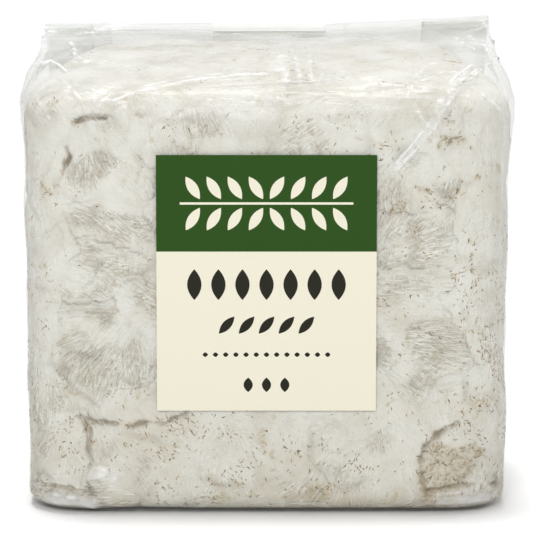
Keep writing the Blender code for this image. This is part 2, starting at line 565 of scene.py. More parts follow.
def make_mottle_group() -> bpy.types.NodeTree:
    """Makes the soft stains that the felt, its fibres, the paper and the cloth share.

    Returns:
        A group that gives a stain mask and a fine grain at each place.
    """
    sheet = new_group("mottle", ("Blotches", "Grain"), ("Stain", "Fine"))
    blotches, grain = sheet.tree.nodes["Group Input"].outputs[:2]
    place = sheet.object_place()
    stain = sheet.ramp(sheet.noise(place, blotches, 3.0, 0.55, 0.4), 0.40, 0.68)
    fine = sheet.noise(place, grain, 4.0, 0.65)
    sheet.fill(sheet.tree.nodes["Group Output"], {"Stain": stain, "Fine": fine})
    return sheet.tree


def make_leaf_row_group() -> bpy.types.NodeTree:
    """Makes a printed row of equal leaf shapes.

    Returns:
        A group that gives 1 on the leaves and 0 beside them.
    """
    names = ("Across", "Height", "Pitch", "Length", "Width", "Slant", "Leaves")
    sheet = new_group("leaf row", names, ("Mask",))
    across, height, pitch, length, width, slant, leaves = sheet.tree.nodes["Group Input"].outputs[:7]
    centre = sheet.math("ADD", sheet.math("FLOOR", sheet.math("DIVIDE", across, pitch)), 0.5)
    aside = sheet.math("SUBTRACT", across, sheet.times(centre, pitch))
    cosine, sine = sheet.math("COSINE", slant), sheet.math("SINE", slant)
    along = sheet.math("MULTIPLY_ADD", aside, cosine, sheet.times(height, sine))
    off = sheet.math("SUBTRACT", sheet.times(height, cosine), sheet.times(aside, sine))
    share = sheet.math("DIVIDE", sheet.times(along, 2.0), length)
    taper = sheet.math("SUBTRACT", 1.0, sheet.times(share, share))
    leaf = sheet.math("LESS_THAN", sheet.math("ABSOLUTE", off), sheet.times(sheet.times(taper, width), 0.5))
    half = sheet.times(leaves, 0.5)
    inside = sheet.math("LESS_THAN", sheet.math("ABSOLUTE", sheet.math("SUBTRACT", centre, half)), half)
    sheet.fill(sheet.tree.nodes["Group Output"], {"Mask": sheet.times(leaf, inside)})
    return sheet.tree


MOTTLE = make_mottle_group()
LEAF_ROW = make_leaf_row_group()


@dataclass(frozen=True)
class ReferenceView:
    """The camera that sees the part from the reference view's angle."""

    distance: float = 1.10
    elevation: float = math.radians(7.5)
    target_height: float = 0.0908
    focal_px: float = 2648.0
    frame_px: int = 533
    sensor_mm: float = 36.0

    def place(self) -> Vector:
        """Gives the camera's place."""
        back, rise = self.distance * math.cos(self.elevation), self.distance * math.sin(self.elevation)
        return Vector((0.0, -back, self.target_height + rise))

    def ray(self, pixel: Pixel) -> tuple[Vector, Vector]:
        """Finds the line of sight through a pixel.

        Args:
            pixel: Column and row in the reference view.

        Returns:
            The camera's place and the unit direction.
        """
        forward = Vector((0.0, math.cos(self.elevation), -math.sin(self.elevation)))
        up = Vector((0.0, math.sin(self.elevation), math.cos(self.elevation)))
        half = self.frame_px / 2
        across = (pixel[0] - half) / self.focal_px
        down = (pixel[1] - half) / self.focal_px
        return self.place(), (forward + Vector((across, 0.0, 0.0)) - up * down).normalized()

    def cast(self, tree: BVHTree, pixel: Pixel) -> Vector:
        """Finds the point of a surface that shows at a pixel.

        Args:
            tree: The surface.
            pixel: Column and row in the reference view.

        Returns:
            The point, or the surface's nearest point to the line of sight.
        """
        start, direction = self.ray(pixel)
        hit = tree.ray_cast(start, direction)[0]
        if hit is not None:
            return hit
        return tree.find_nearest(start + direction * self.distance)[0]

    def build(self) -> None:
        """Makes the camera."""
        data = bpy.data.cameras.new("camera")
        data.sensor_width = self.sensor_mm
        data.lens = self.focal_px * self.sensor_mm / self.frame_px
        data.clip_start = 0.01
        camera = add_to_scene("camera", data)
        camera.location = self.place()
        camera.rotation_euler = (math.pi / 2 - self.elevation, 0.0, 0.0)
        bpy.context.scene.camera = camera


VIEW = ReferenceView()


class Growth(Enum):
    """How a stretch of the block has grown over."""

    FUR = 1.0
    THIN = 0.58
    SKIN = 0.22
    BARE = 0.0


RANDOM_GROWTH = (Growth.FUR, Growth.THIN, Growth.THIN, Growth.SKIN, Growth.SKIN)


@dataclass(frozen=True)
class Lobe:
    """One swelling of mycelium on the front.

    Its fibres comb away from its root, or around it when they are twisted.
    """

    middle: Pixel
    root: Pixel
    growth: Growth = Growth.FUR
    size: float = 0.0
    twist: float = 0.0


FRONT_LOBES = (
    Lobe((106, 166), (76, 106), size=0.004),
    Lobe((104, 222), (34, 180)),
    Lobe((100, 268), (26, 232)),
    Lobe((110, 352), (130, 312), size=0.007),
    Lobe((150, 316), (190, 310), Growth.THIN),
    Lobe((142, 464), (82, 408), Growth.THIN, 0.004),
    Lobe((62, 458), (74, 418), Growth.THIN),
    Lobe((36, 150), (42, 96), Growth.SKIN),
    Lobe((34, 238), (36, 178), Growth.SKIN, 0.003),
    Lobe((36, 326), (40, 262), Growth.SKIN),
    Lobe((42, 404), (44, 352), Growth.THIN, 0.003),
    Lobe((60, 104), (48, 76), Growth.THIN),
    Lobe((146, 104), (116, 60), Growth.SKIN, 0.005),
    Lobe((204, 124), (188, 64), Growth.THIN),
    Lobe((262, 106), (268, 56), Growth.SKIN),
    Lobe((322, 124), (388, 70), Growth.THIN, 0.005),
    Lobe((392, 116), (436, 66), Growth.SKIN),
    Lobe((462, 128), (470, 84), Growth.SKIN),
    Lobe((424, 184), (428, 184), Growth.FUR, 0.0, 1.25),
    Lobe((424, 238), (366, 270)),
    Lobe((412, 300), (322, 288), Growth.THIN),
    Lobe((418, 358), (348, 336), size=0.007),
    Lobe((454, 412), (430, 372), Growth.SKIN),
    Lobe((490, 152), (484, 104), Growth.SKIN),
    Lobe((492, 226), (486, 170), Growth.SKIN, 0.002),
    Lobe((490, 304), (484, 252), Growth.SKIN, 0.003),
    Lobe((494, 396), (490, 336), Growth.SKIN),
    Lobe((443, 467), (443, 452), Growth.BARE),
    Lobe((396, 452), (374, 404), Growth.THIN, 0.002),
    Lobe((338, 456), (356, 414), Growth.THIN),
    Lobe((282, 450), (262, 410), Growth.SKIN),
    Lobe((222, 448), (206, 404), Growth.SKIN, 0.005),
    Lobe((200, 200), (200, 170)),
    Lobe((330, 200), (330, 170)),
    Lobe((200, 330), (200, 300)),
    Lobe((330, 330), (330, 300)),
    Lobe((266, 270), (266, 240)),
)

CRACKS = (
    ((80, 417), (96, 422), (112, 423), (132, 427), (148, 422), (166, 424), (187, 412)),
    ((83, 418), (90, 432), (88, 448), (92, 460), (86, 478), (92, 492)),
    ((64, 170), (68, 158), (66, 148)),
    ((76, 121), (86, 117), (104, 118)),
    ((38, 483), (60, 487), (80, 490), (96, 495)),
    ((428, 491), (448, 487), (470, 485), (497, 483)),
    ((459, 422), (446, 428), (436, 436), (424, 448), (420, 462), (422, 478), (427, 496)),
)

HOLLOWS = ((453, 139), (446, 122), (140, 366), (137, 396), (146, 313), (66, 160), (76, 126))


@dataclass(frozen=True)
class Stain:
    """A brown spot in the felt, where sawdust shows or the block has browned."""

    place: Pixel
    size: float
    share: float = 0.8
    wide: float = 1.0


STAINS = tuple(
    Stain((across, down), *look)
    for across, down, *look in (
        (450, 140, 0.0021, 1.0, 2.3), (448, 121, 0.0022, 0.55, 1.2), (426, 190, 0.0011, 0.9, 1.8),
        (415, 187, 0.0009, 0.6, 2.0), (457, 192, 0.0015, 0.9), (461, 182, 0.0010, 0.7),
        (479, 176, 0.0011, 0.8), (392, 210, 0.0016, 0.9), (404, 209, 0.0010, 0.8),
        (429, 257, 0.0013, 0.7, 1.6), (456, 260, 0.0010, 0.8, 0.5), (444, 184, 0.0011, 0.8),
        (451, 198, 0.0009, 0.8), (438, 178, 0.0008, 0.7), (474, 243, 0.0012, 0.8),
        (484, 236, 0.0009, 0.7), (470, 256, 0.0010, 0.9, 0.6), (472, 272, 0.0009, 0.8),
        (478, 300, 0.0010, 0.7), (471, 331, 0.0009, 0.7), (484, 352, 0.0011, 0.7),
        (476, 388, 0.0010, 0.7), (427, 335, 0.0013, 0.6, 3.0), (402, 355, 0.0014, 0.5, 2.0),
        (386, 306, 0.0013, 0.5, 3.2), (447, 391, 0.0012, 0.6, 2.2), (463, 337, 0.0011, 0.7, 0.7),
        (477, 363, 0.0012, 0.8, 0.7), (490, 350, 0.0012, 0.7, 0.5), (262, 432, 0.0014, 0.6),
        (303, 446, 0.0011, 0.6, 0.6), (318, 464, 0.0011, 0.7, 1.5), (242, 484, 0.0012, 0.7, 1.4),
        (312, 492, 0.0026, 0.6, 2.6), (222, 498, 0.0018, 0.7, 2.2), (456, 276, 0.0008, 0.7, 0.5),
        (444, 168, 0.0010, 0.6, 0.5), (49, 192, 0.0020, 0.5, 1.6), (74, 126, 0.0015, 0.7, 0.6),
        (63, 162, 0.0013, 0.8, 0.6), (43, 186, 0.0012, 0.6, 1.5), (127, 270, 0.0010, 0.7, 1.6),
        (147, 284, 0.0010, 0.9, 0.8), (136, 313, 0.0008, 0.7), (138, 397, 0.0012, 0.8),
        (126, 400, 0.0009, 0.6), (87, 426, 0.0014, 0.9), (92, 441, 0.0011, 0.7, 0.6),
        (128, 425, 0.0012, 0.8, 1.4), (46, 322, 0.0010, 0.6), (61, 355, 0.0009, 0.6),
        (47, 490, 0.0014, 0.8, 2.0), (72, 494, 0.0012, 0.7, 2.2), (443, 446, 0.0012, 0.6, 2.2),
        (424, 470, 0.0012, 0.7, 0.5), (480, 488, 0.0012, 0.7, 2.4), (294, 71, 0.0012, 0.5, 1.4),
        (380, 83, 0.0011, 0.7, 1.5), (400, 84, 0.0012, 0.5, 2.0), (236, 80, 0.0014, 0.5, 1.8),
        (264, 50, 0.0030, 0.45, 1.2), (452, 62, 0.0022, 0.7, 1.6), (34, 105, 0.0014, 0.5),
        (52, 104, 0.0022, 0.55), (180, 430, 0.0050, 0.40, 1.6), (165, 455, 0.0040, 0.34),
        (212, 478, 0.0030, 0.42, 1.5), (228, 428, 0.0040, 0.34), (262, 440, 0.0042, 0.44),
        (292, 458, 0.0032, 0.38), (320, 491, 0.0040, 0.55, 2.5), (215, 499, 0.0030, 0.60, 2.5),
        (46, 484, 0.0030, 0.50, 2.0), (98, 440, 0.0030, 0.48, 0.6), (140, 302, 0.0030, 0.36),
        (137, 388, 0.0032, 0.38, 0.8), (172, 130, 0.0030, 0.38, 0.8), (214, 132, 0.0030, 0.36),
        (300, 126, 0.0034, 0.38, 1.4), (342, 118, 0.0034, 0.36, 1.6), (388, 142, 0.0050, 0.36),
        (396, 212, 0.0042, 0.46), (432, 204, 0.0050, 0.36), (406, 242, 0.0042, 0.42, 1.2),
        (388, 302, 0.0042, 0.36, 2.0), (482, 330, 0.0050, 0.40, 0.7), (474, 405, 0.0045, 0.42, 0.8),
    )
)


@dataclass
class Lay:
    """How the felt lies at some places: a row or a value for each.

    Attributes:
        comb: The direction of the fibres.
        way: The way from the swelling's root.
        lobe: The swelling's number.
        fur: How thick the fur is.
        valley: How near the place is to a valley.
        bare: How bare it is.
        swell: How high it is on its swelling.
    """

    comb: np.ndarray
    way: np.ndarray
    lobe: np.ndarray
    fur: np.ndarray
    valley: np.ndarray
    bare: np.ndarray
    swell: np.ndarray

    def grain(self) -> np.ndarray:
        """Gives places that run along the fibres, for noise that is combed with them."""
        return unit(self.way) + self.lobe[:, None]


@dataclass
class MyceliumBlock:
    """The sawdust block, its skin of felt and the lay of its fibres."""

    label_margin: float = 0.004
    wall: Span = (0.002, 0.164)
    crack_reach: float = 0.0014
    tries: int = 4000
    lobe_gap: float = 0.026
    gap_spread: Span = (0.8, 1.5)
    root_spread: float = 0.018
    lobe_part: int = 5
    warp_size: float = 0.019
    warp: float = 0.0065
    warp_patterns: Span = (3.1, 7.7, 12.9)
    ragged_part: int = 3
    ragged_share: float = 0.5
    ragged_patterns: Span = (1.3, 6.1, 9.4)
    valley_width: float = 0.0075
    valley_depth: float = 0.0012
    valley_least: float = 0.10
    valley_patches: Patches = Patches(0.017, 5.3, -0.10, 0.60)
    sway: float = 0.22
    sway_blotches: Blotches = (0.012, 2.2)
    fur_least: float = 0.15
    fur_patches: Patches = Patches(0.013, 1.7, -0.30, 0.25)
    edge_fur: float = 0.25
    edge_width: float = 0.014
    top_span: Span = (0.158, 0.172)
    top_thinning: float = 0.7
    bare_edge: float = 0.003
    swell: float = 0.0005
    swell_width: float = 0.02
    ridge_depth: float = 0.00038
    ridge_blotches: Blotches = (0.16, 2.0)
    rough_depth: float = 0.000264
    rough_blotches: Blotches = (0.0030, 8.0)
    wave_depth: float = 0.00045
    wave_blotches: Blotches = (0.0085, 4.0)
    pits: float = 0.0014
    pit_patches: Patches = Patches(0.0019, 10.0, -0.1, 0.4)
    hollow_width: float = 0.0035
    hollow_depth: float = 0.0014
    proud: float = 0.00025
    foot: Span = (0.0, 0.004)
    crack_width: float = 0.00085
    crack_depth: float = 0.0028
    crack_widths: int = 8
    crack_wander: float = 0.0011
    crack_blotches: Blotches = (0.0036, 11.0)
    crack_opening: Patches = Patches(0.0065, 12.0, -0.55, 0.35)
    crack_least: float = 0.45
    crack_gain: float = 0.75
    fold_depth: float = 0.0011
    # How far the folds grey the felt through the stored valley value: painted shade.
    fold_painted_shade: float = 0.55
    fold_least: float = 0.35
    fold_blotches: Blotches = (0.0130, 17.0)
    fold_width: float = 0.13
    fold_warp: float = 0.0022
    fold_warp_size: float = 0.0060
    fold_warp_patterns: Span = (21.0, 22.0, 23.0)
    fold_patches: Patches = Patches(0.024, 18.0, -0.10, 0.35)
    fold_foot: Span = (0.004, 0.012)
    stain_sizes: int = 4
    stain_ragged: tuple[tuple[float, float, float], ...] = ((0.9, 0.0022, 15.0), (0.5, 0.0009, 16.0))
    stain_least: float = 0.15
    middles: np.ndarray = field(init=False)
    roots: np.ndarray = field(init=False)
    growth: np.ndarray = field(init=False)
    sizes: np.ndarray = field(init=False)
    twists: np.ndarray = field(init=False)
    cracks: list[list[Vector]] = field(init=False)
    hollows: list[np.ndarray] = field(init=False)
    stains: list[np.ndarray] = field(init=False)
    piece: bpy.types.Object = field(init=False)

    def build(self) -> bpy.types.Object:
        """Makes the block from the CAD solid and gives it its relief.

        Returns:
            The block.
        """
        self.piece = copy_of_node("mycelium_block", "mycelium_felt")
        subdivide(self.piece, 2)
        tree = tree_of(self.piece)
        self.cracks = [[VIEW.cast(tree, pixel) for pixel in line] for line in CRACKS]
        self.hollows = [np.array(VIEW.cast(tree, pixel)) for pixel in HOLLOWS]
        self.stains = [np.array(VIEW.cast(tree, stain.place)) for stain in STAINS]
        self.split_visible_faces()
        mesh = self.piece.data
        points, normals = read_rows(mesh, "co"), read_rows(mesh, "normal")
        self.place_lobes(points)
        lay = self.lay_of(points, normals)
        crack = self.crack_share(points)
        folds = self.fold_share(points)
        depth = self.relief(points, lay) + self.crack_depth * crack
        depth += self.fold_depth * folds * at_least(self.fold_least, lay.fur)
        write_points(mesh, points - normals * depth[:, None])
        mesh.shade_smooth()
        shades = {
            "comb": lay.grain(),
            "reach": np.linalg.norm(lay.way, axis=1),
            "fur": lay.fur,
            # The valley value greys the felt in the valleys between swellings and in the folds: painted
            # shade.
            "valley": np.maximum(lay.valley, self.fold_painted_shade * folds),
            "bare": lay.bare,
            "crack": crack,
            "stain": self.stain_share(points),
        }
        for name, values in shades.items():
            store(mesh, name, values)
        mesh.materials.append(FeltFinish().material())
        mount_piece(self.piece, "mycelium", "mycelium_block")
        return self.piece

    def split_visible_faces(self) -> None:
        """Makes the faces finer on the walls and the top, most of all on the front and at its cracks."""
        foot, top = self.wall
        middles, normals, _ = read_faces(self.piece.data)
        facing = normals[:, 1] < FRONT_FACING
        left_plain = (facing & under_label(middles, self.label_margin)) | (normals[:, 2] < BASE_FACING)
        front = facing & (middles[:, 2] < top)
        split_faces(self.piece, ~front & ~left_plain, 1)
        middles, normals, _ = read_faces(self.piece.data)
        wall = (middles[:, 2] >= foot) & (middles[:, 2] <= top) & ~under_label(middles, self.label_margin)
        split_faces(self.piece, (normals[:, 1] < FRONT_FACING) & wall, 2)
        middles, _, _ = read_faces(self.piece.data)
        split_faces(self.piece, near_lines(middles, self.cracks, self.crack_reach), 1)

    def place_lobes(self, points: np.ndarray) -> None:
        """Sets the middles of the swellings: those of the front, then others at random elsewhere.

        Args:
            points: The block's points.
        """
        tree = tree_of(self.piece)
        middles = [np.array(VIEW.cast(tree, lobe.middle)) for lobe in FRONT_LOBES]
        roots = [np.array(VIEW.cast(tree, lobe.root)) for lobe in FRONT_LOBES]
        growth = [lobe.growth.value for lobe in FRONT_LOBES]
        sizes = [lobe.size for lobe in FRONT_LOBES]
        kinds = [kind.value for kind in RANDOM_GROWTH]
        draw = np.random.default_rng(SEED)
        for spot in points[draw.permutation(len(points))[: self.tries]]:
            gap = self.lobe_gap * draw.uniform(*self.gap_spread)
            if np.min(np.linalg.norm(np.array(middles) - spot, axis=1)) > gap:
                middles.append(spot)
                roots.append(spot + draw.normal(0.0, self.root_spread, 3))
                growth.append(draw.choice(kinds))
                sizes.append(gap / self.lobe_part)
        self.middles, self.roots = np.array(middles), np.array(roots)
        self.growth, self.sizes = np.array(growth), np.array(sizes)
        self.twists = np.zeros(len(middles))
        self.twists[: len(FRONT_LOBES)] = [lobe.twist for lobe in FRONT_LOBES]

    def lay_of(self, points: np.ndarray, normals: np.ndarray) -> Lay:
        """Works out which swelling each point is on and how its fibres lie there.

        Args:
            points: Places on the block.
            normals: The surface's normals there.

        Returns:
            The lay of the felt at each point.
        """
        wander = wander_at(points, self.warp_size, self.warp_patterns)
        ragged = wander_at(points, self.warp_size / self.ragged_part, self.ragged_patterns)
        places = points + self.warp * wander + self.ragged_share * self.warp * ragged
        gaps = np.linalg.norm(places[:, None, :] - self.middles[None, :, :], axis=2) - self.sizes
        order = np.argsort(gaps, axis=1)[:, :2]
        nearest = order[:, 0]
        near = np.take_along_axis(gaps, order, axis=1)
        between = near[:, 1] - near[:, 0]
        way = places - self.roots[nearest]
        comb = away_along_normal(way, normals)
        angle = (self.twists[nearest] + self.sway * noise_at(points, *self.sway_blotches))[:, None]
        inner = at_least(self.edge_fur, smooth_step(0.0, self.edge_width, between))
        fur = self.growth[nearest] * at_least(self.fur_least, self.fur_patches.share(points)) * inner
        strength = at_least(self.valley_least, self.valley_patches.share(points))
        bare = self.growth[nearest] == Growth.BARE.value
        return Lay(
            comb=comb * np.cos(angle) + np.cross(normals, comb) * np.sin(angle),
            way=way,
            lobe=nearest.astype(float),
            fur=fur * (1 - self.top_thinning * smooth_step(*self.top_span, points[:, 2])),
            valley=(1 - smooth_step(0.0, self.valley_width, between)) * strength,
            bare=bare * smooth_step(0.0, self.bare_edge, between),
            swell=1 - np.clip(near[:, 0] / self.swell_width, 0, 1) ** 2,
        )

    def relief(self, points: np.ndarray, lay: Lay) -> np.ndarray:
        """Works out how deep each point sinks below the CAD surface.

        Args:
            points: The block's points.
            lay: How the fibres lie there.

        Returns:
            One depth for each point.
        """
        depth = self.valley_depth * lay.valley - self.swell * lay.swell
        depth += self.ridge_depth * noise_at(lay.grain(), *self.ridge_blotches) * lay.fur
        depth += self.rough_depth * noise_at(points, *self.rough_blotches)
        depth += self.wave_depth * noise_at(points, *self.wave_blotches)
        depth += self.pits * lay.bare * self.pit_patches.share(points)
        for middle in self.hollows:
            gap = np.linalg.norm(points - middle, axis=1)
            depth += self.hollow_depth * np.exp(-((gap / self.hollow_width) ** 2))
        return np.maximum(depth, -self.proud) * above_foot(points, self.foot)

    def crack_share(self, points: np.ndarray) -> np.ndarray:
        """Tells how far each point is down a crack.

        Args:
            points: Places on the block.

        Returns:
            A share for each place, from 0 beside a crack to 1 on its line.
        """
        share = np.zeros(len(points))
        gaps = [distance_to_line(points, line) for line in self.cracks]
        near = np.flatnonzero(np.min(gaps, axis=0) < self.crack_widths * self.crack_width)
        wander = self.crack_wander * noise_at(points[near], *self.crack_blotches)
        opening = self.crack_opening.share(points[near])
        reach = self.crack_width * (self.crack_least + self.crack_gain * opening)
        for gap in gaps:
            within = np.exp(-(((gap[near] + wander) / reach) ** 2))
            share[near] = np.maximum(share[near], within * at_least(self.crack_least, opening))
        return share

    def fold_share(self, points: np.ndarray) -> np.ndarray:
        """Tells how deep each point lies in the small folds that wander over the felt.

        Args:
            points: Places on the block.

        Returns:
            A share for each place, 0 beside the folds.
        """
        away = self.fold_warp * wander_at(points, self.fold_warp_size, self.fold_warp_patterns)
        line = np.abs(noise_at(points + away, *self.fold_blotches))
        here = self.fold_patches.share(points) * above_foot(points, self.fold_foot)
        return (1 - smooth_step(0.0, self.fold_width, line)) * here

    def stain_share(self, points: np.ndarray) -> np.ndarray:
        """Tells how brown each point is.

        Args:
            points: Places on the block.

        Returns:
            A share for each place, 0 where the felt is clean.
        """
        share = np.zeros(len(points))
        for stain, middle in zip(STAINS, self.stains):
            reach = self.stain_sizes * stain.size * max(stain.wide, 1.0)
            close = np.flatnonzero(np.linalg.norm(points - middle, axis=1) < reach)
            away = (points[close] - middle) / np.array([stain.wide, 1.0, 1.0])
            rough = sum(gain * noise_at(points[close], *blotches) for gain, *blotches in self.stain_ragged)
            ragged = np.maximum(1 + rough, self.stain_least)
            gap = np.linalg.norm(away, axis=1) * ragged / stain.size
            share[close] = np.maximum(share[close], stain.share * np.exp(-(gap**2)))
        return share


STRAND_POINTS = 5
STRAND_FACES = ((0, 2, 3), (0, 3, 4), (0, 4, 2), (1, 3, 2), (1, 4, 3), (1, 2, 4))


@dataclass(frozen=True)
class Strands:
    """Many short spindles laid on the block, joined in one mesh."""

    length: Span
    half_width: Span
    height: float
    stray: float
    bend: float
    tall: Span = (0.5, 1.3)
    tail_sink: float = 0.7
    tip_sink: float = 0.2

    def mesh_of(
        self, name: str, spots: np.ndarray, along: np.ndarray, normals: np.ndarray, draw: np.random.Generator
    ) -> bpy.types.Object:
        """Builds the spindles.

        Args:
            name: The piece's name.
            spots: Where each lies.
            along: The direction of each, in the surface.
            normals: The surface's normals.
            draw: The source of chance.

        Returns:
            The piece, with no finish yet.
        """
        count = len(spots)
        side = np.cross(normals, along)
        angle = draw.normal(0.0, self.stray, (count, 1))
        along = unit(along * np.cos(angle) + side * np.sin(angle))
        side = np.cross(normals, along)
        half = draw.uniform(*self.length, (count, 1)) / 2
        width = draw.uniform(*self.half_width, (count, 1))
        bow = draw.normal(0.0, self.bend, (count, 1)) * half
        tall = self.height * draw.uniform(*self.tall, (count, 1))
        middle = spots + side * bow
        tail = spots - along * half - normals * self.height * self.tail_sink
        tip = spots + along * half - normals * self.height * self.tip_sink
        ring = (middle + side * width, middle - side * width, middle + normals * tall)
        points = np.stack([tail, tip, *ring], axis=1).reshape(-1, 3)
        first = STRAND_POINTS * np.arange(count)
        faces = (np.array(STRAND_FACES)[None, :, :] + first[:, None, None]).reshape(-1, 3)
        mesh = bpy.data.meshes.new(name)
        mesh.from_pydata(points.tolist(), [], faces.tolist())
        return add_to_scene(name, mesh)


def dress_strands(piece: bpy.types.Object, tint: np.ndarray, material: bpy.types.Material) -> None:
    """Tints the spindles one by one and fixes them to the part.

    Args:
        piece: The joined spindles.
        tint: A share for each spindle.
        material: Their finish.
    """
    store(piece.data, "tint", np.repeat(tint, STRAND_POINTS))
    piece.data.materials.append(material)
    mount_piece(piece, "mycelium")


@dataclass
class SurfaceSamples:
    """Random places on the block, with their normals."""

    block: MyceliumBlock
    draw: np.random.Generator

    def take(self, count: int, front_gain: float = 1.0) -> tuple[np.ndarray, np.ndarray]:
        """Draws places evenly over the block's surface, or more thickly on its front.

        Args:
            count: How many.
            front_gain: How much thicker they lie on the front.

        Returns:
            The places and their normals.
        """
        mesh = self.block.piece.data
        mesh.calc_loop_triangles()
        corners = np.empty(len(mesh.loop_triangles) * 3, np.int32)
        mesh.loop_triangles.foreach_get("vertices", corners)
        corners = corners.reshape(-1, 3)
        points, normals = read_rows(mesh, "co"), read_rows(mesh, "normal")
        first, second, third = (points[corners[:, k]] for k in range(3))
        area = np.linalg.norm(np.cross(second - first, third - first), axis=1)
        area = np.where(normals[corners[:, 0], 1] < FRONT_FACING, front_gain * area, area)
        chosen = self.draw.choice(len(corners), count, p=area / area.sum())
        share = self.draw.dirichlet((1.0, 1.0, 1.0), count)
        trio = corners[chosen]
        spots = sum(points[trio[:, k]] * share[:, k : k + 1] for k in range(3))
        facing = unit(sum(normals[trio[:, k]] * share[:, k : k + 1] for k in range(3)))
        return spots, facing


@dataclass
class Fibres:
    """The combed fibres of the felt, in one piece for the front and one for the rest."""

    drawn: int = 120000
    front_gain: float = 2.6
    most: int = 30000
    chance_least: float = 0.03
    chance_gain: float = 0.75
    clear: float = 0.003
    bare_most: float = 0.5
    front_facing: float = -0.35
    strands: Strands = Strands((0.0030, 0.0088), (0.00013, 0.00031), 0.00014, 0.09, 0.07)
    clump_blotches: Blotches = (0.006, 6.0)
    clump_spread: float = 0.45
    clump_span: Span = (-0.5, 0.6)
    tint_least: float = 0.35
    tint_fur: Span = (0.05, 0.45)

    def build(self, block: MyceliumBlock) -> None:
        """Lays the fibres.

        Args:
            block: The block that carries them.
        """
        draw = np.random.default_rng(SEED + 1)
        material = FibreFinish().material()
        spots, normals = SurfaceSamples(block, draw).take(self.drawn, self.front_gain)
        lay = block.lay_of(spots, normals)
        keep = draw.uniform(0, 1, len(spots)) < self.chance_least + self.chance_gain * lay.fur
        keep &= ~under_label(spots, self.clear) & (spots[:, 2] > self.clear) & (lay.bare < self.bare_most)
        front = normals[:, 1] < self.front_facing
        for name, chosen in (("front_fibres", keep & front), ("side_fibres", keep & ~front)):
            index = np.flatnonzero(chosen)[: self.most]
            piece = self.strands.mesh_of(name, spots[index], lay.comb[index], normals[index], draw)
            clump = noise_at(spots[index], *self.clump_blotches)
            clump += self.clump_spread * draw.normal(0, 1, len(index))
            thick = at_least(self.tint_least, smooth_step(*self.tint_fur, lay.fur[index]))
            dress_strands(piece, smooth_step(*self.clump_span, clump) * thick, material)


@dataclass
class Sawdust:
    """Brown slivers of sawdust that the felt has not grown over."""

    drawn: int = 60000
    most: int = 6500
    low_span: Span = (0.012, 0.060)
    right_span: Span = (0.068, 0.080)
    left_span: Span = (0.074, 0.084)
    side_height: Span = (0.090, 0.125)
    right_gain: float = 2.0
    patches: Patches = Patches(0.012, 9.0, -0.05, 0.45)
    chance_least: float = 0.03
    low_chance: float = 0.40
    side_chance: float = 0.32
    patch_least: float = 0.12
    fur_most: float = 1.2
    bare_chance: float = 0.45
    stain_chance: float = 1.6
    label_clear: float = 0.001
    base_clear: float = 0.003
    strands: Strands = Strands((0.0005, 0.0036), (0.00014, 0.00033), 0.00024, 0.7, 0.25)
    tint_power: float = 1.5

    def build(self, block: MyceliumBlock) -> None:
        """Scatters the slivers, thickest low down, on thin stretches and at stains.

        Args:
            block: The block that carries them.
        """
        draw = np.random.default_rng(SEED + 2)
        spots, normals = SurfaceSamples(block, draw).take(self.drawn)
        lay = block.lay_of(spots, normals)
        low = 1 - smooth_step(*self.low_span, spots[:, 2])
        right = self.right_gain * smooth_step(*self.right_span, spots[:, 0])
        beside = right + smooth_step(*self.left_span, -spots[:, 0])
        beside *= 1 - smooth_step(*self.side_height, spots[:, 2])
        chance = self.chance_least + self.low_chance * low + self.side_chance * beside
        chance *= (self.patch_least + self.patches.share(spots)) * (self.fur_most - lay.fur)
        chance += self.bare_chance * lay.bare + self.stain_chance * block.stain_share(spots)
        keep = (draw.uniform(0, 1, len(spots)) < chance) & ~under_label(spots, self.label_clear)
        index = np.flatnonzero(keep & (spots[:, 2] > self.base_clear))[: self.most]
        name = "sawdust_slivers"
        piece = self.strands.mesh_of(name, spots[index], lay.comb[index], normals[index], draw)
        tint = draw.uniform(0, 1, len(index)) ** self.tint_power
        dress_strands(piece, tint, SliverFinish().material())


@dataclass(frozen=True)
class Crease:
    """A crease of the film: its line in the reference view, its size, how white its painted highlight is and
    how broken it is.
    """

    line: tuple[Pixel, ...]
    width: float = 0.0009
    height: float = 0.0006
    white: float = 0.8
    broken: float = 0.55
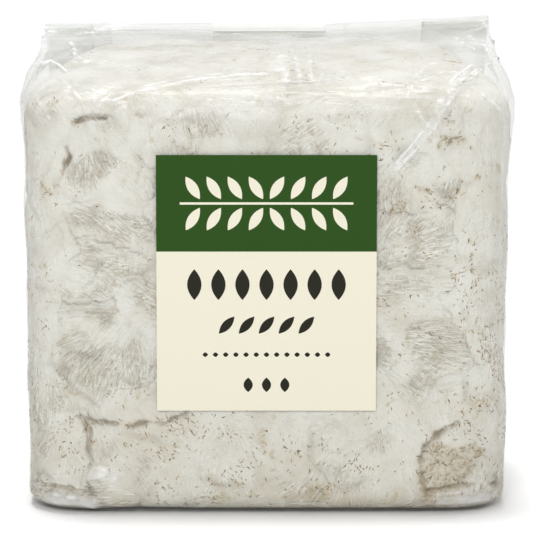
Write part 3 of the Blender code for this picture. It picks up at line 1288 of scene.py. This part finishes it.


# The white of each crease is a painted highlight along its fold.
CREASES = (
    Crease(((470, 66), (452, 80), (440, 103), (427, 127)), 0.0007, 0.0006, 0.90, 0.20),
    Crease(((476, 70), (461, 82), (448, 105), (434, 128)), 0.0007, 0.0006, 0.80, 0.20),
    Crease(((466, 72), (456, 82), (443, 104), (430, 128)), 0.0018, 0.0004, 0.45, 0.10),
    Crease(((423, 131), (408, 150), (393, 166)), 0.0006, 0.0006, 0.95, 0.20),
    Crease(((431, 132), (414, 152), (398, 168)), 0.0006, 0.0005, 0.75, 0.20),
    Crease(((427, 131), (411, 151), (396, 167)), 0.0012, 0.0003, 0.45, 0.10),
    Crease(((452, 98), (474, 76), (497, 58)), 0.0010, 0.0008, 0.8),
    Crease(((414, 104), (422, 118), (429, 128)), 0.0007, 0.0005, 0.5),
    Crease(((416, 78), (426, 68), (446, 62)), 0.0011, 0.0008, 0.85),
    Crease(((424, 82), (440, 74), (458, 72)), 0.0009, 0.0006, 0.6),
    Crease(((452, 37), (462, 44), (474, 50)), 0.0008, 0.0006, 0.8),
    Crease(((468, 36), (476, 44), (490, 40)), 0.0007, 0.0006, 0.7),
    Crease(((34, 62), (44, 64), (52, 62), (66, 71)), 0.0008, 0.0009, 0.9),
    Crease(((48, 68), (58, 66), (68, 74)), 0.0005, 0.0006, 0.7),
    Crease(((60, 78), (74, 92), (88, 111)), 0.0009, 0.0006, 0.75),
    Crease(((71, 44), (76, 50), (75, 56)), 0.0006, 0.0008, 0.95),
    Crease(((73, 50), (80, 60), (88, 63)), 0.0006, 0.0008, 0.9),
    Crease(((66, 60), (77, 64), (92, 62), (110, 66)), 0.0005, 0.0006, 0.7),
    Crease(((88, 60), (130, 66), (182, 72)), 0.0008, 0.0005, 0.6),
    Crease(((114, 101), (138, 91), (198, 79), (268, 76)), 0.0009, 0.0006, 0.8),
    Crease(((122, 93), (150, 85), (206, 74), (250, 71)), 0.0008, 0.0005, 0.7),
    Crease(((96, 108), (106, 100), (124, 104)), 0.0014, 0.0006, 0.8),
    Crease(((280, 54), (283, 70), (288, 84)), 0.0013, 0.0008, 0.8),
    Crease(((296, 58), (297, 70), (302, 82)), 0.0011, 0.0007, 0.7),
    Crease(((310, 56), (309, 68), (312, 80)), 0.0011, 0.0007, 0.7),
    Crease(((323, 58), (324, 70), (320, 82)), 0.0009, 0.0006, 0.6),
    Crease(((272, 104), (280, 98), (290, 104)), 0.0012, 0.0006, 0.7),
    Crease(((92, 474), (104, 475), (117, 477)), 0.0024, 0.0006, 0.75),
    Crease(((86, 470), (104, 470), (124, 475)), 0.0008, 0.0004, 0.8),
    Crease(((48, 499), (70, 501), (94, 505)), 0.0022, 0.0010, 0.8, 0.30),
    Crease(((438, 501), (460, 499), (486, 497)), 0.0021, 0.0010, 0.8, 0.30),
    Crease(((438, 494), (462, 492), (490, 490)), 0.0007, 0.0005, 0.8),
    Crease(((50, 493), (70, 496), (92, 500)), 0.0007, 0.0005, 0.8),
    Crease(((38, 100), (44, 110), (50, 118)), 0.0008, 0.0005, 0.7),
    Crease(((484, 96), (492, 104), (500, 112)), 0.0008, 0.0005, 0.6),
    Crease(((27, 120), (30, 200), (30, 300), (33, 420)), 0.0014, 0.0005, 0.25),
    Crease(((504, 130), (500, 220), (500, 320), (499, 440)), 0.0014, 0.0005, 0.25),
)


@dataclass
class FilmBag:
    """The clear bag, with creases where its film is folded or pulled."""

    large_face: float = 1.5e-5
    slack_face: float = 5e-6
    fine_face: float = 1.2e-6
    fine_reach: float = 0.0030
    split_facing: Span = (0.4, 0.6)
    split_base: float = -0.7
    slack_top: float = 0.186
    core_margin: float = 0.03
    foot: Span = (0.004, 0.012)
    upper: Span = (0.140, 0.164)
    ripple: float = 0.00026
    ripple_blotches: Blotches = (0.0075, 1.0)
    slack: float = 0.0009
    slack_blotches: Blotches = (0.017, 2.0)
    pull: Span = (0.45, 1.0, 1.3)
    skew: Span = (0.25, 0.12, 0.12)
    wrinkle: float = 0.0009
    wrinkle_blotches: Blotches = (0.0095, 3.0)
    wrinkle_width: float = 0.28
    wrinkle_patches: Patches = Patches(0.030, 5.0, -0.25, 0.35)
    veil: float = 0.32
    veil_end: Span = (0.1840, 0.1865)
    veil_patches: Patches = Patches(0.015, 4.0, -0.5, 0.5)
    wander: float = 0.0005
    wander_blotches: Blotches = (0.005, 13.0)
    dashes: Patches = Patches(0.004, 14.0, -0.4, 0.3)
    trough_place: float = 2.2
    trough_depth: float = 0.35
    label_free: float = 0.004
    stray_creases: int = 34
    stray_length: Span = (0.010, 0.030)
    stray_parts: int = 3
    stray_bend: float = 0.3
    stray_size: Span = (0.6, 1.3)
    stray_white: Span = (0.4, 0.9)
    stray_from: Span = (-0.045, 0.03)

    def build(self) -> bpy.types.Object:
        """Makes the bag from the CAD shell, with finer faces along its creases.

        Returns:
            The bag.
        """
        piece = copy_of_node("bag", "film_bag")
        subdivide(piece, 1)
        tree = tree_of(piece)
        lines = [[VIEW.cast(tree, pixel) for pixel in crease.line] for crease in CREASES]
        creases = list(CREASES)
        for crease, line in self.strays(tree, read_rows(piece.data, "co")):
            creases.append(crease)
            lines.append(line)
        self.split_slack_faces(piece, lines)
        mesh = piece.data
        points = read_rows(mesh, "co")
        lift, white = self.fold(points, creases, lines)
        write_points(mesh, points + self.outward(points) * lift[:, None])
        mesh.shade_smooth()
        # The film's white: painted highlight along the creases, and painted glare over a thin haze on the
        # upper front.
        store(mesh, "white", white)
        mesh.materials.append(FilmFinish().material())
        mount_piece(piece, "film", "bag")
        return piece

    def outward(self, points: np.ndarray) -> np.ndarray:
        """Finds the way out of the bag at each point, the same for both sides of the film.

        Args:
            points: The film's points.

        Returns:
            Unit rows.
        """
        low, high = (np.array(corner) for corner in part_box("mycelium_block"))
        return unit(points - np.clip(points, low + self.core_margin, high - self.core_margin))

    def split_slack_faces(self, piece: bpy.types.Object, lines: Sequence[Sequence[Vector]]) -> None:
        """Makes the faces finer over the shoulders and the top, and most of all along the creases.

        Args:
            piece: The bag.
            lines: The creases' corners.
        """
        facing, near_facing = self.split_facing
        _, normals, areas = read_faces(piece.data)
        wall = (normals[:, 1] < facing) & (normals[:, 2] > self.split_base)
        split_faces(piece, wall & (areas > self.large_face), 1)
        middles, normals, areas = read_faces(piece.data)
        slack = (middles[:, 2] > self.upper[0]) & (middles[:, 2] < self.slack_top)
        split_faces(piece, slack & (normals[:, 1] < facing) & (areas > self.slack_face), 1)
        middles, normals, areas = read_faces(piece.data)
        near = near_lines(middles, lines, self.fine_reach) & (normals[:, 1] < near_facing)
        split_faces(piece, near & (areas > self.fine_face), 2)

    def strays(self, tree: BVHTree, points: np.ndarray) -> list[tuple[Crease, list[Vector]]]:
        """Draws small creases at random over the sides, the back and the top.

        Args:
            tree: The film's surface.
            points: The film's points.

        Returns:
            Each crease with its corners on the film.
        """
        draw = np.random.default_rng(SEED + 3)
        behind, above = self.stray_from
        chosen = points[(points[:, 1] > behind) & (points[:, 2] > above)]
        found = []
        for start in chosen[draw.choice(len(chosen), self.stray_creases, replace=False)]:
            line = [Vector(start)]
            heading = Vector(unit(draw.normal(0, 1, (1, 3)))[0])
            length = draw.uniform(*self.stray_length)
            for _ in range(self.stray_parts):
                bend = Vector(draw.normal(0, self.stray_bend, 3))
                heading = (heading + bend).normalized()
                line.append(tree.find_nearest(line[-1] + heading * length / self.stray_parts)[0])
            size = draw.uniform(*self.stray_size)
            white = draw.uniform(*self.stray_white)
            found.append((Crease((), Crease.width * size, Crease.height * size, white), line))
        return found

    def fold(
        self, points: np.ndarray, creases: Sequence[Crease], lines: Sequence[Sequence[Vector]]
    ) -> tuple[np.ndarray, np.ndarray]:
        """Works out the film's lift, and its whitening: painted highlight along the creases and painted
        glare over a thin haze on the upper front.

        Args:
            points: The film's points.
            creases: The creases' sizes.
            lines: The creases' corners.

        Returns:
            The lift and the whiteness of each point, the whiteness being painted highlight and glare.
        """
        upper = smooth_step(*self.upper, points[:, 2])
        lift = self.ripple * noise_at(points, *self.ripple_blotches) * smooth_step(*self.foot, points[:, 2])
        lift += self.slack * upper * np.abs(noise_at(points, *self.slack_blotches))
        pulled = points * np.array(self.pull) + points[:, [2, 0, 1]] * np.array(self.skew)
        furrow = np.abs(noise_at(pulled, *self.wrinkle_blotches))
        wrinkle = 1 - smooth_step(0.0, self.wrinkle_width, furrow)
        lift += self.wrinkle * upper * wrinkle * self.wrinkle_patches.share(points)
        # The whiteness: painted glare over a thin haze on the upper front, then a painted highlight along
        # each crease.
        white = self.veil * upper * (1 - smooth_step(*self.veil_end, points[:, 2]))
        white *= self.veil_patches.share(points)
        wander = self.wander * noise_at(points, *self.wander_blotches)
        gaps_in_line = 1 - self.dashes.share(points)
        for crease, line in zip(creases, lines):
            gap = np.abs(distance_to_line(points, line) + wander)
            bump = np.exp(-((gap / crease.width) ** 2)) * (1 - crease.broken * gaps_in_line)
            trough = np.exp(-(((gap - self.trough_place * crease.width) / crease.width) ** 2))
            lift += crease.height * (bump - self.trough_depth * trough)
            white = np.maximum(white, crease.white * bump)
        free = self.free_share(points)
        return lift * free, white * free

    def free_share(self, points: np.ndarray) -> np.ndarray:
        """Tells how far each point is out from under the label, so that the film lies flat there.

        Args:
            points: The film's points.

        Returns:
            A share for each point, 0 under the label.
        """
        low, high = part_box("label")
        beside = np.maximum(np.abs(points[:, 0] - (low.x + high.x) / 2) - (high.x - low.x) / 2, 0)
        above = np.maximum(np.abs(points[:, 2] - (low.z + high.z) / 2) - (high.z - low.z) / 2, 0)
        return smooth_step(0.0, self.label_free, np.hypot(beside, above) + (points[:, 1] > 0))


@dataclass(frozen=True)
class FeltFinish:
    """Matted mycelium over moist sawdust. Heights are in metres above the base."""

    white: Colour = (0.80, 0.795, 0.75, 1.0)
    grey: Colour = (0.51, 0.465, 0.375, 1.0)
    tan: Colour = (0.57, 0.50, 0.37, 1.0)
    dark: Colour = (0.25, 0.195, 0.125, 1.0)
    spot: Colour = (0.50, 0.40, 0.245, 1.0)
    gold: Colour = (0.52, 0.43, 0.27, 1.0)
    damp: Colour = (0.40, 0.32, 0.20, 1.0)
    cleft: Colour = (0.30, 0.225, 0.13, 1.0)
    # Whiter tufts on the raised ridges between the streaks, brightened further as a painted highlight.
    tuft_highlight: Colour = (0.90, 0.90, 0.87, 1.0)
    combing: float = 120.0
    streak_span: Span = (0.46, 0.64)
    streak_fur: Span = (0.10, 0.60)
    streak_share: float = 0.72
    thin_fur: Span = (0.05, 0.75)
    thin_share: float = 0.28
    tuft_highlight_span: Span = (0.47, 0.36)
    tuft_highlight_fur: Span = (0.02, 0.40)
    tuft_highlight_share: float = 0.75
    mottle_share: float = 0.30
    valley_shade_share: float = 0.55
    bare_share: float = 0.5
    crack_share: float = 0.90
    spot_scale: float = 190.0
    spot_span: Span = (0.64, 0.74)
    spot_share: float = 0.55
    speck_span: Span = (0.58, 0.70)
    speck_share: float = 0.22
    speck_bare: float = 0.55
    grain_scale: float = 620.0
    stain_grains: Span = (0.34, 0.58, 0.35, 1.0)
    stain_span: Span = (0.03, 0.75, 0.0, 0.85)
    stain_heart: Span = (0.50, 0.80)
    pore_span: Span = (0.50, 0.60, 0.0, 0.75)
    foot_scale: float = 42.0
    foot_patches: Span = (0.46, 0.62, 0.10, 1.0)
    foot_height: Span = (0.0140, 0.0040, 0.0, 0.45)
    warm_height: Span = (0.075, 0.010, 0.0, 0.20)
    warm_streaks: Span = (0.35, 0.55, 0.3, 1.0)
    # Painted shade: a greyer band on the rounded shoulder of the top, where the most light falls.
    shoulder_shade_height: Span = (0.152, 0.166, 0.0, 0.24)
    # Painted contact shadow: dark along the very foot of the block, where it meets the floor.
    contact_shade_height: Span = (0.0034, 0.0008, 0.0, 0.90)
    fine_bump: float = 0.25
    bump_strength: float = 0.95
    bump_depth: float = 0.0021
    roughness: float = 0.7

    def streak(self, sheet: NodeSheet) -> Socket:
        """Makes a noise that is drawn out along the lay of the fibres.

        Args:
            sheet: The material's nodes.

        Returns:
            The output socket, from 0 to 1.
        """
        inputs = {
            "Vector": sheet.stored("comb", "Vector"),
            "W": sheet.times(sheet.stored("reach"), self.combing),
            "Scale": 12.0,
            "Detail": 3.0,
            "Roughness": 0.6,
        }
        return sheet.add("ShaderNodeTexNoise", inputs, noise_dimensions="4D").outputs["Fac"]

    def material(self) -> bpy.types.Material:
        """Builds the material.

        Returns:
            The felt, streaked along the lay of its fibres.
        """
        material, sheet = new_material("felt")
        mottle = sheet.use(MOTTLE, {"Blotches": 55.0, "Grain": 700.0})
        fine = mottle.outputs["Fine"]
        place = sheet.object_place()
        height = sheet.axis("Z", place)
        fur, bare = sheet.stored("fur"), sheet.stored("bare")
        streak = self.streak(sheet)
        grains = sheet.noise(place, self.grain_scale, 3.0, 0.7)
        streaks = sheet.times(sheet.ramp(streak, *self.streak_span), sheet.ramp(fur, *self.streak_fur))
        thin = sheet.times(sheet.ramp(fur, *self.thin_fur), self.thin_share)
        tuft_highlights = sheet.times(sheet.ramp(streak, *self.tuft_highlight_span), sheet.ramp(fur, *self.tuft_highlight_fur))
        spots = sheet.ramp(sheet.noise(place, self.spot_scale, 2.0), *self.spot_span)
        speck = sheet.math("MULTIPLY_ADD", bare, self.speck_bare, self.speck_share)
        stain = sheet.times(sheet.stored("stain"), sheet.ramp(grains, *self.stain_grains))
        blotch = sheet.ramp(sheet.noise(place, self.foot_scale, 3.0), *self.foot_patches)
        warm = sheet.ramp(streak, *self.warm_streaks)
        base = sheet.coats(
            self.white,
            (sheet.math("MULTIPLY_ADD", streaks, self.streak_share, thin), self.grey),
            # Painted highlight: the tufts on the ridges between the streaks turn whiter.
            (sheet.times(tuft_highlights, self.tuft_highlight_share), self.tuft_highlight),
            (sheet.times(mottle.outputs["Stain"], self.mottle_share), self.tan),
            # Painted shade: greyer in the valleys between swellings and in the small folds.
            (sheet.times(sheet.stored("valley"), self.valley_shade_share), self.grey),
            (sheet.times(bare, self.bare_share), self.tan),
            (sheet.times(sheet.stored("crack"), self.crack_share), self.cleft),
            (sheet.times(spots, self.spot_share), self.spot),
            (sheet.times(sheet.ramp(fine, *self.speck_span), speck), self.dark),
            (sheet.ramp(stain, *self.stain_span), self.gold),
            (sheet.ramp(stain, *self.stain_heart), self.dark),
            (sheet.times(bare, sheet.ramp(grains, *self.pore_span)), self.damp),
            (sheet.times(sheet.ramp(height, *self.foot_height), blotch), self.gold),
            (sheet.times(sheet.ramp(height, *self.warm_height), warm), self.tan),
            # Painted shade on the rounded shoulder of the top.
            (sheet.ramp(height, *self.shoulder_shade_height), self.grey),
            # Painted contact shadow along the foot of the block.
            (sheet.ramp(height, *self.contact_shade_height), self.dark),
        )
        furrows = sheet.times(sheet.times(streak, fur), -1.0)
        relief = sheet.math("MULTIPLY_ADD", fine, self.fine_bump, furrows)
        bump = sheet.bump(relief, self.bump_strength, self.bump_depth)
        sheet.shade({"Base Color": base, "Normal": bump, "Roughness": self.roughness})
        return material


@dataclass(frozen=True)
class FibreFinish:
    """White fibres, a few of them greyed."""

    white: Colour = (0.83, 0.825, 0.78, 1.0)
    grey: Colour = (0.49, 0.445, 0.355, 1.0)
    stain_share: float = 0.20
    tint_share: float = 0.8
    roughness: float = 0.75

    def material(self) -> bpy.types.Material:
        """Builds the material.

        Returns:
            The fibres' finish, tinted strand by strand.
        """
        material, sheet = new_material("fibre")
        mottle = sheet.use(MOTTLE, {"Blotches": 55.0, "Grain": 700.0})
        tint = sheet.times(sheet.stored("tint"), self.tint_share)
        share = sheet.math("MULTIPLY_ADD", mottle.outputs["Stain"], self.stain_share, tint)
        sheet.shade({"Base Color": sheet.coats(self.white, (share, self.grey)), "Roughness": self.roughness})
        return material


@dataclass(frozen=True)
class SliverFinish:
    """Bits of hardwood sawdust, from pale tan to dark brown."""

    pale: Colour = (0.47, 0.35, 0.185, 1.0)
    dark: Colour = (0.13, 0.08, 0.035, 1.0)
    roughness: float = 0.7

    def material(self) -> bpy.types.Material:
        """Builds the material.

        Returns:
            The slivers' finish.
        """
        material, sheet = new_material("sawdust")
        colour = sheet.coats(self.pale, (sheet.stored("tint"), self.dark))
        sheet.shade({"Base Color": colour, "Roughness": self.roughness})
        return material


@dataclass(frozen=True)
class FilmFinish:
    """Clear film: it lets nearly all light through and is milkier edge-on; it is painted white as a
    highlight along a crease and as glare over a thin haze on the upper front.
    """

    colour: Colour = (0.81, 0.815, 0.81, 1.0)
    # The white of the painted crease highlights and of the glare and haze on the upper front.
    haze_and_glare: Colour = (1.0, 1.0, 1.0, 1.0)
    tint: Colour = (0.984, 0.984, 0.978, 1.0)
    double: Colour = (0.971, 0.973, 0.967, 1.0)
    double_height: Span = (0.1835, 0.1870)
    ridge_height: Span = (0.1845, 0.1880)
    veil: float = 0.07
    edge: float = 0.42
    ridge: float = 0.10
    # How far the painted crease highlight makes the film less clear.
    crease: float = 0.75
    edge_blend: float = 0.35
    edge_power: float = 2.2
    crumple_scale: float = 75.0
    bump_strength: float = 0.6
    bump_depth: float = 0.0022
    roughness: float = 0.26
    index: float = 1.6

    def material(self) -> bpy.types.Material:
        """Builds the material.

        Returns:
            The film's finish.
        """
        material, sheet = new_material("film")
        place = sheet.object_place()
        height = sheet.axis("Z", place)
        # The stored white turns the film white and less clear: painted highlight and glare.
        white = sheet.stored("white")
        crumple = sheet.noise(place, self.crumple_scale, 5.0, 0.6)
        shader = sheet.shade({
            "Base Color": sheet.coats(self.colour, (white, self.haze_and_glare)),
            "Normal": sheet.bump(crumple, self.bump_strength, self.bump_depth),
            "Roughness": self.roughness,
            "IOR": self.index,
        })
        facing = sheet.add("ShaderNodeLayerWeight", {"Blend": self.edge_blend}).outputs["Facing"]
        rim = sheet.math("POWER", facing, self.edge_power)
        rim = sheet.times(rim, sheet.ramp(height, *self.ridge_height, self.edge, self.ridge))
        share = sheet.math("ADD", sheet.math("ADD", rim, sheet.times(white, self.crease)), self.veil)
        inner = sheet.add("ShaderNodeNewGeometry").outputs["Backfacing"]
        share = sheet.times(share, sheet.math("SUBTRACT", 1.0, inner))
        tint = sheet.coats(self.tint, (sheet.ramp(height, *self.double_height), self.double))
        sheet.show_mix(share, sheet.add("ShaderNodeBsdfTransparent", {"Color": tint}), shader)
        return material


@dataclass(frozen=True)
class LeafRow:
    """A printed row of leaf shapes: its height, and the leaves' sizes."""

    height: float
    pitch: float
    length: float
    width: float
    slant: float
    leaves: int


@dataclass
class PaperLabel:
    """The label: a green band with a sprig over a cream field with rows of leaves and dots.

    Heights on the field are from the label's top edge, and on the band from its middle line.
    """

    green: Colour = (0.022, 0.072, 0.007, 1.0)
    cream: Colour = (0.815, 0.781, 0.638, 1.0)
    ink: Colour = (0.018, 0.018, 0.011, 1.0)
    band: float = 0.0378
    stem: float = 0.00045
    stem_end: float = 0.001
    sprig: LeafRow = LeafRow(0.0061, 0.0082, 0.0104, 0.0040, math.radians(58), 4)
    seeds: LeafRow = LeafRow(-0.0508, 0.0094, 0.0122, 0.0056, math.pi / 2, 7)
    chaff: LeafRow = LeafRow(-0.0668, 0.0078, 0.0092, 0.0034, math.radians(48), 5)
    dots: LeafRow = LeafRow(-0.0785, 0.0040, 0.0022, 0.0018, 0.0, 13)
    foot: LeafRow = LeafRow(-0.0905, 0.0072, 0.0058, 0.0036, math.pi / 2, 3)
    roughness: float = 0.6
    gloss: float = 0.15

    def dress(self) -> None:
        """Gives the CAD label its printed paper."""
        material, sheet = new_material("label_paper")
        place = sheet.object_place()
        low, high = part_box("label")
        x = sheet.math("SUBTRACT", sheet.axis("X", place), (low.x + high.x) / 2)
        z = sheet.math("SUBTRACT", sheet.axis("Z", place), high.z)
        band = sheet.math("GREATER_THAN", z, -self.band)
        lower = sheet.coats(self.cream, (self.rows(sheet, x, z), self.ink))
        upper = sheet.coats(self.green, (self.ornament(sheet, x, z), self.cream))
        grain = sheet.use(MOTTLE, {"Blotches": 60.0, "Grain": 2600.0})
        sheet.shade({
            "Base Color": sheet.coats(lower, (band, upper)),
            "Normal": sheet.bump(grain.outputs["Fine"], 0.08, 0.0002),
            "Roughness": self.roughness,
            "Specular IOR Level": self.gloss,
        })
        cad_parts["label"].material_slots[0].material = material

    def print_row(self, sheet: NodeSheet, row: LeafRow, across: Socket, height: Socket) -> Socket:
        """Prints one row of leaves.

        Args:
            sheet: The material's nodes.
            row: The row's sizes.
            across: How far right of the row's left end.
            height: The height on the label, from where the row's own height is counted.

        Returns:
            1 on ink and 0 elsewhere.
        """
        inputs = {
            "Across": across,
            "Height": sheet.math("SUBTRACT", height, row.height),
            "Pitch": row.pitch,
            "Length": row.length,
            "Width": row.width,
            "Slant": row.slant,
            "Leaves": row.leaves,
        }
        return sheet.use(LEAF_ROW, inputs).outputs["Mask"]

    def rows(self, sheet: NodeSheet, x: Socket, z: Socket) -> Socket:
        """Prints the cream field.

        Args:
            sheet: The material's nodes.
            x: How far right of the middle.
            z: How far above the label's top edge, below zero on the label.

        Returns:
            1 on ink and 0 elsewhere.
        """
        mask = 0.0
        for row in (self.seeds, self.chaff, self.dots, self.foot):
            across = sheet.math("ADD", x, row.pitch * row.leaves / 2)
            mask = sheet.math("MAXIMUM", mask, self.print_row(sheet, row, across, z))
        return mask

    def ornament(self, sheet: NodeSheet, x: Socket, z: Socket) -> Socket:
        """Prints the sprig of the green band.

        Args:
            sheet: The material's nodes.
            x: How far right of the middle.
            z: How far above the label's top edge, below zero on the label.

        Returns:
            1 on the sprig and 0 elsewhere.
        """
        row = self.sprig
        off = sheet.math("ABSOLUTE", sheet.math("ADD", z, self.band / 2))
        reach = sheet.math("ABSOLUTE", x)
        stem = sheet.math("LESS_THAN", off, self.stem)
        inside = sheet.math("LESS_THAN", reach, row.pitch * row.leaves + self.stem_end)
        return sheet.math("MAXIMUM", self.print_row(sheet, row, reach, off), sheet.times(stem, inside))


@dataclass
class FilterPatch:
    """The breather patch of pressed white fibre, thin on its inner side."""

    white: Colour = (0.90, 0.90, 0.885, 1.0)
    shade: Colour = (0.80, 0.80, 0.79, 1.0)
    shade_share: float = 0.4
    fold_depth: Span = (0.0455, 0.0500)
    front_glow: float = 0.20
    back_glow: Span = (-0.4, -0.1, 0.95, 0.55)
    roughness: float = 0.75

    def dress(self) -> None:
        """Gives the CAD patch its cloth."""
        material, sheet = new_material("filter_cloth")
        grain = sheet.use(MOTTLE, {"Blotches": 180.0, "Grain": 1600.0})
        shade = sheet.times(grain.outputs["Stain"], self.shade_share)
        shader = sheet.shade({
            "Base Color": sheet.coats(self.white, (shade, self.shade)),
            "Normal": sheet.bump(grain.outputs["Fine"], 0.5, 0.0003),
            "Roughness": self.roughness,
        })
        depth = sheet.axis("Y", sheet.object_place())
        up = sheet.axis("Z", sheet.add("ShaderNodeNewGeometry").outputs["Normal"])
        thin = sheet.ramp(depth, *self.fold_depth, self.front_glow, sheet.ramp(up, *self.back_glow))
        sheet.show_mix(thin, shader, sheet.add("ShaderNodeBsdfTranslucent", {"Color": self.white}))
        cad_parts["filter_patch"].material_slots[0].material = material


@dataclass(frozen=True)
class Lamp:
    """A soft square lamp that faces the block."""

    name: str
    place: tuple[float, float, float]
    size: float
    watts: float
    aim: tuple[float, float, float] = (0.0, 0.0, 0.09)

    def build(self) -> None:
        """Hangs the lamp."""
        data = bpy.data.lights.new(self.name, "AREA")
        data.size = self.size
        data.energy = self.watts
        lamp = add_to_scene(self.name, data)
        lamp.location = self.place
        lamp.rotation_euler = (Vector(self.aim) - Vector(self.place)).to_track_quat("-Z", "Y").to_euler()


@dataclass
class Studio:
    """A pale floor in a bright soft room, with a broad light overhead, a lamp in front and one behind."""

    floor_half: float = 12.0
    floor_roughness: float = 0.9
    room_colour: Colour = (0.99, 0.99, 1.0, 1.0)
    room_light: float = 0.485
    sun_strength: float = 2.0
    sun_angle: float = math.radians(16)
    sun_from: tuple[float, float, float] = (-0.05, 0.125, 1.0)
    seen: Colour = (0.96, 0.96, 0.96, 1.0)
    bounce: Colour = (0.66, 0.66, 0.645, 1.0)
    lamps: tuple[Lamp, ...] = (
        Lamp("front", (-0.15, -1.6, 0.85), 0.7, 13.2),
        Lamp("rear", (1.5, 1.0, 0.6), 0.9, 6.5),
    )
    clear_layers: int = 40

    def build(self) -> None:
        """Makes the floor, the room and the lights."""
        self.lay_floor()
        self.light_room()
        for lamp in self.lamps:
            lamp.build()
        bpy.context.scene.view_settings.view_transform = "Standard"
        bpy.context.scene.cycles.transparent_max_bounces = self.clear_layers

    def lay_floor(self) -> None:
        """Makes the pale floor, a little darker in what it throws back than it looks."""
        bpy.ops.object.select_all(action="DESELECT")
        bpy.ops.mesh.primitive_plane_add(size=2 * self.floor_half)
        floor = bpy.context.active_object
        floor.name = "floor"
        material, sheet = new_material("floor")
        seen = sheet.add("ShaderNodeLightPath").outputs["Is Camera Ray"]
        colour = sheet.coats(self.bounce, (seen, self.seen))
        sheet.shade({"Base Color": colour, "Roughness": self.floor_roughness})
        floor.data.materials.append(material)

    def light_room(self) -> None:
        """Makes the even light of the room, which looks white, and the broad light overhead."""
        world = bpy.data.worlds.new("room")
        world.use_nodes = True
        room = NodeSheet(world.node_tree)
        seen = room.add("ShaderNodeLightPath").outputs["Is Camera Ray"]
        strength = room.ramp(seen, 0.0, 1.0, self.room_light, 1.0)
        room.fill(world.node_tree.nodes["Background"], {"Color": self.room_colour, "Strength": strength})
        bpy.context.scene.world = world
        data = bpy.data.lights.new("overhead", "SUN")
        data.energy = self.sun_strength
        data.angle = self.sun_angle
        sun = add_to_scene("overhead", data)
        sun.rotation_euler = Vector(self.sun_from).to_track_quat("Z", "Y").to_euler()


def main() -> None:
    """Builds the scene in order."""
    logging.basicConfig(level=logging.INFO, format="%(name)s: %(message)s")
    VIEW.build()
    block = MyceliumBlock()
    block.build()
    Fibres().build(block)
    Sawdust().build(block)
    FilmBag().build()
    PaperLabel().dress()
    FilterPatch().dress()
    Studio().build()


if __name__ == "__main__":
    main()
